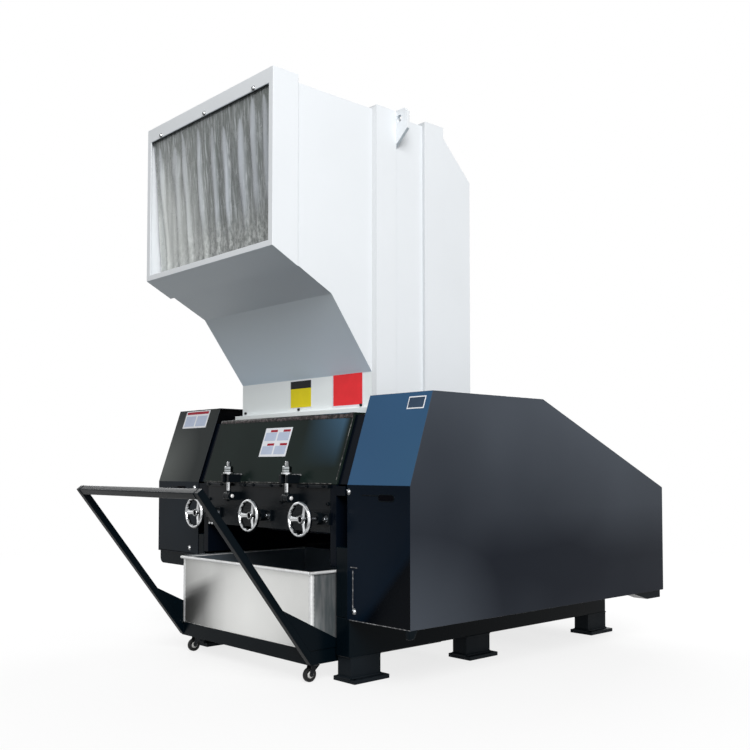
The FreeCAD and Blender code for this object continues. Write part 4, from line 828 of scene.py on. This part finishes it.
def make_lid_details():
    low, high = extent("lid")
    rows = []
    for step in range(LID_WELD_STEPS + 1):
        across = low.x + 4 + (high.x - low.x - 8) * step / LID_WELD_STEPS
        foot = 1103 - 7 * step / LID_WELD_STEPS + random.uniform(-2, 2)
        proud = random.uniform(2.5, 5)
        rows.append([on_slope(across, foot, 0.2), on_slope(across, foot + 3, proud),
                     on_slope(across, 1111, proud + random.uniform(-1.5, 1.5)),
                     on_slope(across, 1117, 0.2), on_slope(across, 1112, -2)])
    weld = Builder()
    weld.loft(rows)
    weld.piece("lid_top_weld", WELD_DARK, "chamber_black", angle=50)
    edges = Builder()
    # The bead on the lid's right edge also stands in for that edge's highlight
    edges.tube([on_slope(504, 830, 0), on_slope(508, 1092, 0)], 1.8, 8)
    for start, end in ((-180, 180), (262, 480), (-480, -262)):
        edges.box((start, -2.2, low.z + 1), (end, 1, 818))
    edges.piece("lid_worn_and_highlight_edges", WORN, "chamber_black", bevel=0.6)


def make_front_bar_details():
    face = 3
    flange, screws, guides = Builder(), Builder(), Builder()
    for start, end in ((-468, -256), (-184, 184), (256, 468)):
        flange.box((start, face - 14, 796), (end, face, 810))
    flange.piece("front_bar_flange", CAST, "chamber_black", bevel=2)
    for across in (-440, -330, -140, -70, 70, 140, 330, 440):
        screws.lathe((across, face - 14, 803), -Y, [(0, 7), (6, 7), (6, 4.2), (2, 4.2)], 20)
    for across in (-455, -300, -130, 130, 300, 455):
        screws.lathe((across, face, 730), -Y, [(0, 8), (7, 8), (8, 7), (8, 4.6), (3, 4.6)], 20)
    screws.piece("front_bar_screws", CAST, "chamber_black")
    middles = [across for across, _ in WHEEL_PLACES.values()]
    for across in middles:
        guides.box((across - 62, face - 12, WHEEL_Z - 25), (across + 62, face, WHEEL_Z + 25))
    guides.piece("screw_flanges", CAST, "chamber_black", bevel=1)
    make_bolts("screw_flange_bolts", [(across + side * 47, face - 12, WHEEL_Z)
                                      for across in middles for side in (-1, 1)], -Y, 15, 13, DULL)
    make_bolts("door_bolts", [(across, face, 612) for across in (-452, -429)], -Y, 11, 6,
               base=0)


WHEEL_RADIUS, WHEEL_RIM_HALF, WHEEL_RIM_DEPTH = 67, 8, 11
WHEEL_SCALLOPS = 12
WHEEL_DISH = 12
WHEEL_STEPS, WHEEL_SIDES = 144, 16


def wheel_rim():
    """Rings of points of a rim with scallops on its inner side."""
    rings = []
    for step in range(WHEEL_STEPS + 1):
        turn = math.tau * step / WHEEL_STEPS
        outward = Vector((math.cos(turn), 0, math.sin(turn)))
        wave = 0.5 + 0.5 * math.cos(turn * WHEEL_SCALLOPS)
        ring = []
        for side in range(WHEEL_SIDES):
            angle = math.tau * side / WHEEL_SIDES
            notch = 4.5 * max(0.0, -math.cos(angle)) * wave ** 1.5
            radius = WHEEL_RADIUS + WHEEL_RIM_HALF * math.cos(angle) + notch
            ring.append(outward * radius + Y * WHEEL_RIM_DEPTH * math.sin(angle))
        rings.append(ring)
    return rings


def make_handwheel(name, across, depth):
    """Chromed wheel with a scalloped inner rim, three waisted spokes and a set-back hub."""
    body = f"handwheel_{name}"
    wheel, screw, bore_painted_shade = (Builder(across, depth, WHEEL_Z) for _ in range(3))
    wheel.loft(wheel_rim(), caps=False)
    for turn in (180, 60, -60):
        outward = Vector((math.cos(math.radians(turn)), 0, math.sin(math.radians(turn))))
        rings = []
        for share in (0.0, 0.2, 0.4, 0.6, 0.8, 1.0):
            centre = outward * (12 + share * (WHEEL_RADIUS - 16)) + Y * WHEEL_DISH * (1 - share)
            half = 12.5 - 3.0 * math.sin(math.pi * min(share * 1.1, 1.0))
            thick = 5.5 - 1.0 * math.sin(math.pi * share)
            rings.append(circle(centre, outward.cross(Y) * half, Y * thick, 16))
        wheel.loft(rings)
    hub = Y * WHEEL_DISH
    wheel.lathe(hub, -Y, [(-16, 15), (-15, 18), (9, 18), (13, 16), (13, 13.5), (12, 12.5),
                          (3, 12.5)], 40)
    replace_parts(wheel.piece(f"{body}_chrome", CHROME, "bright_steel", body, angle=40), body)
    screw_end = extent(body)[1].y - depth
    threads = [(-9, 9)]
    for pitch in range(16, int(screw_end) - 18, 3):
        threads += [(-pitch - 1, 9), (-pitch - 2.5, 7.9)]
    screw.lathe(HERE, -Y, threads + [(-screw_end, 9)], 24)
    # A black plug of painted shade fills the hole in the hub
    bore_painted_shade.lathe(hub, -Y, [(0, 12.2), (10, 12.2), (11, 11)], 24)
    bore_painted_shade.piece(f"{body}_bore", SHADE_AND_JOINT_BLACK, "bright_steel", body)
    screw.piece(f"{body}_screw", SCREW, "bright_steel", body)


def make_pin_heads():
    """Bright turned ends of the pivot pins."""
    reach = extent("pivot_pins")[1].x - CLAMPS[1]
    heads = Builder()
    for across in CLAMPS:
        heads.lathe((across + reach, PIVOT_Y, PIVOT_Z), X,
                    [(-1, 8), (0, 9), (2, 9), (4, 7), (5, 3)], 24)
    heads.piece("pivot_pin_heads", BRIGHT, "bright_steel", angle=50)


def make_swing_bolt(side, across):
    """Dark eye on its pin, bright threaded shank, and a washer under a tall nut."""
    body = f"swing_bolt_{side}"
    eye, nut, shank = (Builder(across, PIVOT_Y, PIVOT_Z) for _ in range(3))
    profile = ((-11, 17), (-9, 19), (9, 19), (11, 17), (11, 8.4), (-11, 8.4), (-11, 17))
    eye.loft([circle(X * along, Y * radius, Z * radius, 32) for along, radius in profile],
             caps=False)
    eye.lathe(HERE, Z, [(9, 12), (22, 12), (26, 10)], 24)
    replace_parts(eye.piece(f"{body}_eye", CAST, "chamber_black", body, angle=40), body)
    nut.lathe(HERE, Z, [(113, 18.5), (115, 21), (124, 21), (125.5, 19), (127, 21), (137, 21),
                        (140, 18.5)], 6)
    nut.piece(f"{body}_nuts", NUT, "bright_steel", body, angle=25)
    profile = [(20, 10), (98, 10)]
    for step in range(138, 158, 3):
        profile += [(step, 10), (step + 1.5, 9.1)]
    shank.lathe(HERE, Z, profile + [(160, 9.6), (162, 8)], 24)
    shank.lathe(HERE, Z, [(105, 24), (106, 27), (112, 27), (113, 24)], 36)
    shank.piece(f"{body}_shank", CHROME, "bright_steel", body, angle=25)


# Guards


def make_grip(name, slot, line):
    """Finger slot just below the fold of a guard's front panel, with a short raised line; a black
    sheet of painted shade stands in for the slot's recess.
    """
    low_x, high_x, bottom, top = slot
    line_start, line_end, line_height = line
    middle, radius = (bottom + top) / 2, (top - bottom) / 2
    path = []
    for end, start in ((low_x + radius, 90), (high_x - radius, -90)):
        for step in range(13):
            angle = math.radians(start + 15 * step)
            path.append((end + radius * math.cos(angle), 0, middle + radius * math.sin(angle)))
    edge, slot_painted_shade = Builder(), Builder()
    edge.tube(path, 1.8, 8, closed=True)
    edge.tube([(line_start, 0, line_height), (line_end, 0, line_height)], 2.4, 8)
    edge.piece(f"{name}_grip_edge", FRAME, "guard_black", angle=60)
    # A black sheet of painted shade stands in for the slot's recess
    slot_painted_shade.prism(path, (0, -0.8, 0))
    slot_painted_shade.piece(f"{name}_grip_painted_shade", SHADE_AND_JOINT_BLACK, "guard_black")


def make_guard_details():
    make_grip("right_guard", (769, 863, 750, 776), (674, 769, 772))
    make_grip("left_guard", (-760, -680, 768, 790), (-814, -760, 786))
    make_domes("guard_screws", "bright_steel",
               [(592, 0, 784), (627, 0, 299), (-592, 0, 783), (-636, 0, 479)], 10)
    highlight_lines, bracket, seams = Builder(), Builder(), Builder()
    # Light raised lines whose colour stands in for highlights on the lower edge and on flange edges
    highlight_lines.box((595, -1.2, 260), (949, 1, 263))
    highlight_lines.tube([(618, 0, 305), (618, 0, 464)], 2.2, 8)
    highlight_lines.tube([(604, 0, 476), (644, 0, 476)], 2.2, 8)
    highlight_lines.piece("right_guard_painted_highlight_edges", WORN_LIGHT_AND_HIGHLIGHT, "guard_black", bevel=0.4)
    bracket.prism([(930, -8, 260), (930, 41, 260), (930, 20, 226), (930, -4, 226)], (20, 0, 0))
    bracket.piece("right_guard_bracket", FRAME, "guard_black", bevel=2)
    seams.box((-933, -1.0, 452), (-595, 0.5, 455))
    seams.piece("left_guard_seam", SHADE_AND_JOINT_BLACK, "guard_black", bevel=0.4)


# Trolley

CASTER_PLACES = {"front_left": (-447, -66), "front_right": (447, -66),
                 "rear_left": (-185, 618), "rear_right": (185, 618)}
CASTER_TRAIL, CASTER_RADIUS = 22, 30
# Height of the fork's seat over the axle
FORK_TOP = 39.7 - 3


def make_caster(name, x, y):
    """Pressed fork with its ball race, and a wheel with a pale hub, measured from the axle."""
    fork, tyre, hub = (Builder(x, y - CASTER_TRAIL, CASTER_RADIUS) for _ in range(3))
    fork.lathe((0, CASTER_TRAIL, FORK_TOP), Z, [(0, 20), (3, 23), (5, 23), (7, 21)], 32)
    for side in (-16, 13):
        outline = [(side, 42, FORK_TOP), (side, 0, FORK_TOP), (side, -10, 4)]
        outline += [spun(side, math.radians(180 + step * 22.5), 7.5) for step in range(9)]
        fork.prism(outline + [(side, 11, 10)], (3, 0, 0))
    fork.box((-16, 0, FORK_TOP - 1), (16, 42, FORK_TOP + 2))
    fork.lathe((-19, 0, 0), X, [(0, 5), (0.5, 6.5), (4, 6.5), (4, 5), (34, 5), (34, 6.5),
                                (37.5, 6.5), (38, 5)], 20)
    body = f"caster_fork_{name}"
    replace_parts(fork.piece(f"caster_{name}_fork", SCREW, "zinc_steel", body, bevel=0.5), body)
    body = f"caster_wheel_{name}"
    tyre.lathe((-11, 0, 0), X, [(3, 17), (0.5, 21), (0, 25), (2.5, 29), (6, 30), (16, 30),
                                (19.5, 29), (22, 25), (21.5, 21), (19, 17)], 40)
    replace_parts(tyre.piece(f"caster_{name}_tyre", RUBBER, "wheel_nylon", body, angle=40), body)
    hub.lathe((-11, 0, 0), X, [(1, 5.6), (-1.5, 9), (-1.5, 12), (1, 13.5), (4.5, 17.5),
                               (17.5, 17.5), (21, 13.5), (23.5, 12), (23.5, 9), (21, 5.6)], 32)
    hub.piece(f"caster_{name}_hub", NYLON, "wheel_nylon", body, angle=40)


def make_bin_details():
    low, high = extent("collecting_bin")
    x0, x1 = low.x + SIDE_LIP, high.x - SIDE_LIP
    y0, y1 = low.y + FRONT_LIP, high.y - FRONT_LIP
    corners, rolled = Builder(), Builder()
    for x, side in ((x0, -1), (x1, 1)):
        for y, facing in ((y0, -1), (y1, 1)):
            rings = []
            for z in range(int(low.z) + 2, int(high.z) - 8, 5):
                wobble = 0.5 * math.sin(z * 0.9) + 0.4 * math.sin(z * 0.37)
                out = 2.2 + 0.3 * wobble
                wide = 16 + 1.2 * wobble
                outline = ((-wide, 0), (3 - wide, 0.8), (-2, out), (out, -2), (0.8, 3 - wide),
                           (0, -wide), (-2, -2))
                rings.append([(x + side * along, y + facing * over, z) for along, over in outline])
            corners.loft(rings)
    corners.piece("bin_corner_welds", LIP, "bin_steel", "trolley", angle=60)
    for start, end in (((low.x + 3, low.y + 4), (high.x - 3, low.y + 4)),
                       ((high.x - 4, low.y + 4), (high.x - 4, high.y - 4)),
                       ((high.x - 3, high.y - 4), (low.x + 3, high.y - 4)),
                       ((low.x + 4, high.y - 4), (low.x + 4, low.y + 4))):
        rolled.tube([(*start, high.z - 6), (*end, high.z - 6)], 6.5, 14)
    rolled.piece("bin_rolled_lip", LIP, "bin_steel", "trolley", angle=50)
    make_beads("bin_foot_weld", WELD, "bin_steel",
               [((x0 + 6, y0, low.z + 1), (x1 - 6, y0, low.z + 1), 2.2)], "trolley")


def make_handle_details():
    """Weld beads where the arms meet the bar, the gussets and the trolley base."""
    beads = []
    for side in (-1, 1):
        for x, start, end, radius in ((477, (-667, 786), (-644, 804), 2),
                                      (477, (-667, 786), (-650, 764), 2),
                                      (477, (-126, 82), (-126, 128), 2.5),
                                      (500, (-264, 308), (-128, 131), 2.5),
                                      (495, (-120, 138), (80, 138), 2.5)):
            beads.append(((side * x, *start), (side * x, *end), radius))
    make_beads("handle_welds", FRAME, "frame_black", beads, "trolley")


# Motor

# Fan end of the motor's axis; the motor is measured from there
MOTOR_PLACE = Vector((-260, 1450, 510))
MOTOR_FEET = -207
MOTOR_RIBS = 44
# Angles without ribs, at the feet and at the terminal box
BARE_ANGLES = ((235, 305), (70, 110))


def make_motor_housing():
    housing = Builder(*MOTOR_PLACE)
    housing.lathe(HERE, X, [(0, 150), (4, 186), (18, 188), (60, 188), (630, 188), (672, 188),
                            (686, 186), (690, 150)], 72)
    for step in range(MOTOR_RIBS):
        angle = math.tau * step / MOTOR_RIBS
        if any(start < math.degrees(angle) < end for start, end in BARE_ANGLES):
            continue
        sideways = spun(0, angle + math.pi / 2, 1)
        root, tip = spun(50, angle, 184), spun(50, angle, 199)
        housing.prism([root - sideways * 3, root + sideways * 3, tip + sideways * 1.8,
                       tip - sideways * 1.8], (590, 0, 0))
    for place in (18, 648):
        housing.lathe((place, 0, 0), X, [(0, 192), (2, 199), (22, 199), (24, 192)], 72)
    for y in (-180, 110):
        housing.box((60, y, MOTOR_FEET - 18), (630, y + 70, MOTOR_FEET))
    for x in (80, 580):
        housing.prism([(x, -175, MOTOR_FEET), (x, 175, MOTOR_FEET), (x, 140, -110),
                       (x, -140, -110)], (30, 0, 0))
    housing.box((265, -65, 170), (425, 65, 202))
    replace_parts(housing.piece("motor_housing", MOTOR, "motor_grey", bevel=1.2), "motor")


def make_motor_fittings():
    """Terminal box, grilled fan cover, shaft and foot bolts."""
    box, cover, shaft = (Builder(*MOTOR_PLACE) for _ in range(3))
    box.box((265, -65, 204), (425, 65, 258))
    for x in (280, 410):
        for y in (-50, 50):
            box.lathe((x, y, 258), Z, [(0, 5), (2, 4)], 16)
    box.piece("motor_terminal_box", MOTOR, "motor_grey", bevel=3)
    cover.lathe(HERE, -X, [(-14, 203), (-14, 206), (90, 206), (106, 196), (110, 184), (110, 176),
                           (104, 176), (104, 60), (106, 58), (106, 2)], 72)
    for ring in range(6):
        cover.tube([spun(-107, math.tau * step / 48, 70 + ring * 18) for step in range(48)],
                   2.6, 6, closed=True)
    for spoke in range(8):
        cover.tube([spun(-107, math.tau * spoke / 8, radius) for radius in (50, 178)], 3, 6)
    cover.piece("motor_fan_cover", MOTOR, "motor_grey", angle=30)
    shaft.lathe((686, 0, 0), X, [(0, 70), (8, 66), (12, 34), (14, 32), (166, 32)], 40)
    shaft.piece("motor_shaft", ZINC, "zinc_steel")
    make_bolts("motor_foot_bolts", [MOTOR_PLACE + Vector((x, y, MOTOR_FEET))
                                    for x in (90, 600) for y in (-160, 160)], Z, 24, 14)


# Frame details


def make_frame_details():
    beads = []
    for side in (-1, 1):
        for start in (13, 715, 1673):
            x0, x1 = side * 508, side * 593
            corners = [(x0, start), (x1, start), (x1, start + 165), (x0, start + 165)]
            beads += [((*one, height), (*two, height), radius)
                      for one, two in zip(corners, corners[1:] + corners[:1])
                      for height, radius in ((20, 8), (105, 3))]
    make_beads("feet_welds", FOOT, "frame_black", beads)
    rear = extent("chamber_rear_wall")[1].y
    make_bolts("rear_joint_bolts", [(-420 + step * 120, rear, height) for step in range(8)
                                    for height in (790, 838)], Y, 14, 10)
    make_bolts("motor_plate_bolts", [(side * 550, y, 285) for side in (-1, 1)
                                     for y in (1200, 1700)], Z, 16, 10)


# Camera, lights and surroundings

PHOTO_SIZE = 750
PHOTO_FOCAL = 935.83
PHOTO_CENTRE = (377.8, 429.06)
CAMERA_PLACE = (3505, -2527, 882)
CAMERA_YAW, CAMERA_PITCH = 47.288, 2.38
SENSOR = 36.0

SKY_LEVEL = 0.30
FLOOR_TONE = 0.27
FLOOR_GLOW_NEAR, FLOOR_GLOW_FAR = (1.5, 0.78), (6.0, 1.0)


def make_camera():
    data = bpy.data.cameras.new("photo_camera")
    data.sensor_width = SENSOR
    data.lens = PHOTO_FOCAL / PHOTO_SIZE * SENSOR
    data.shift_x = (PHOTO_SIZE / 2 - PHOTO_CENTRE[0]) / PHOTO_SIZE
    data.shift_y = (PHOTO_CENTRE[1] - PHOTO_SIZE / 2) / PHOTO_SIZE
    data.clip_end = 100
    camera = place_in_scene("photo_camera", data)
    camera.location = at(*CAMERA_PLACE)
    camera.rotation_euler = (math.radians(90 + CAMERA_PITCH), 0, math.radians(CAMERA_YAW))
    bpy.context.scene.camera = camera


def add_lamp(name, place, target, size, power):
    data = bpy.data.lights.new(name, "AREA")
    data.shape = "RECTANGLE"
    data.size, data.size_y = size
    data.energy = power
    lamp = place_in_scene(name, data)
    lamp.location = at(*place)
    lamp.rotation_euler = (at(*target) - at(*place)).to_track_quat("-Z", "Y").to_euler()
    lamp.visible_camera = False


def seen_directly(nodes):
    """1 for what the camera sees, also in a mirror or through a clear sheet."""
    rays = nodes.add("ShaderNodeLightPath")
    total = rays["Is Camera Ray"]
    for output in ("Is Glossy Ray", "Is Transmission Ray"):
        total = nodes.calculate("MAXIMUM", total, rays[output])
    return total


def make_world():
    """White to the camera, in reflections and through clear sheet, softer as a light."""
    world = bpy.data.worlds.new("studio")
    bpy.context.scene.world = world
    world.use_nodes = True
    nodes = Nodes(world.node_tree)
    background = nodes.tree.nodes["Background"].inputs
    nodes.feed(background["Color"], (1, 1, 1))
    nodes.feed(background["Strength"], nodes.remap(seen_directly(nodes), SKY_LEVEL, 1.0, 0.0, 1.0))


def make_floor():
    """Pale floor that keeps the shadow near the machine and runs out into white."""
    bpy.ops.mesh.primitive_plane_add(size=60, location=at(0, 600, -1))
    floor = bpy.context.object
    floor.name = "studio_floor"
    shader = Shader("studio_floor", Roughness=0.9, Specular_IOR_Level=0.0)
    seen = seen_directly(shader)
    shader.colour(shader.mix(seen, (FLOOR_TONE,) * 3, (0.95, 0.95, 0.95)))
    (near, low), (far, high) = FLOOR_GLOW_NEAR, FLOOR_GLOW_FAR
    amount = shader.product(shader.remap(shader.distance(HERE), low, high, near, far), seen)
    glow = shader.add("ShaderNodeEmission", {"Color": (1, 1, 1)})["Emission"]
    mixed = shader.add("ShaderNodeMixShader", {0: amount, 1: shader.bsdf.outputs["BSDF"], 2: glow})
    shader.feed(shader.tree.nodes["Material Output"].inputs["Surface"], mixed["Shader"])
    floor.data.materials.append(shader.material)


def make_studio():
    bpy.context.scene.view_settings.view_transform = "Standard"
    make_world()
    make_floor()
    add_lamp("key_light", (8340, -4880, 6440), (200, 400, 1300), (6.5, 5.5), 1190)
    add_lamp("left_light", (-5400, 2300, 3600), (0, 400, 1000), (4.0, 3.0), 160)
    add_lamp("rear_light", (-2400, 6200, 3600), (0, 800, 1000), (4.0, 3.0), 260)


make_camera()
dress_nodes()
make_hopper_bands()
make_curtain()
make_hopper_fittings()
make_plates()
make_lid()
make_lid_details()
make_front_bar_details()
for name, (across, depth) in WHEEL_PLACES.items():
    make_handwheel(name, across, depth)
make_pin_heads()
make_swing_bolt("left", CLAMPS[0])
make_swing_bolt("right", CLAMPS[1])
make_guard_details()
for name, (x, y) in CASTER_PLACES.items():
    make_caster(name, x, y)
make_bin_details()
make_handle_details()
make_motor_housing()
make_motor_fittings()
make_frame_details()
make_studio()
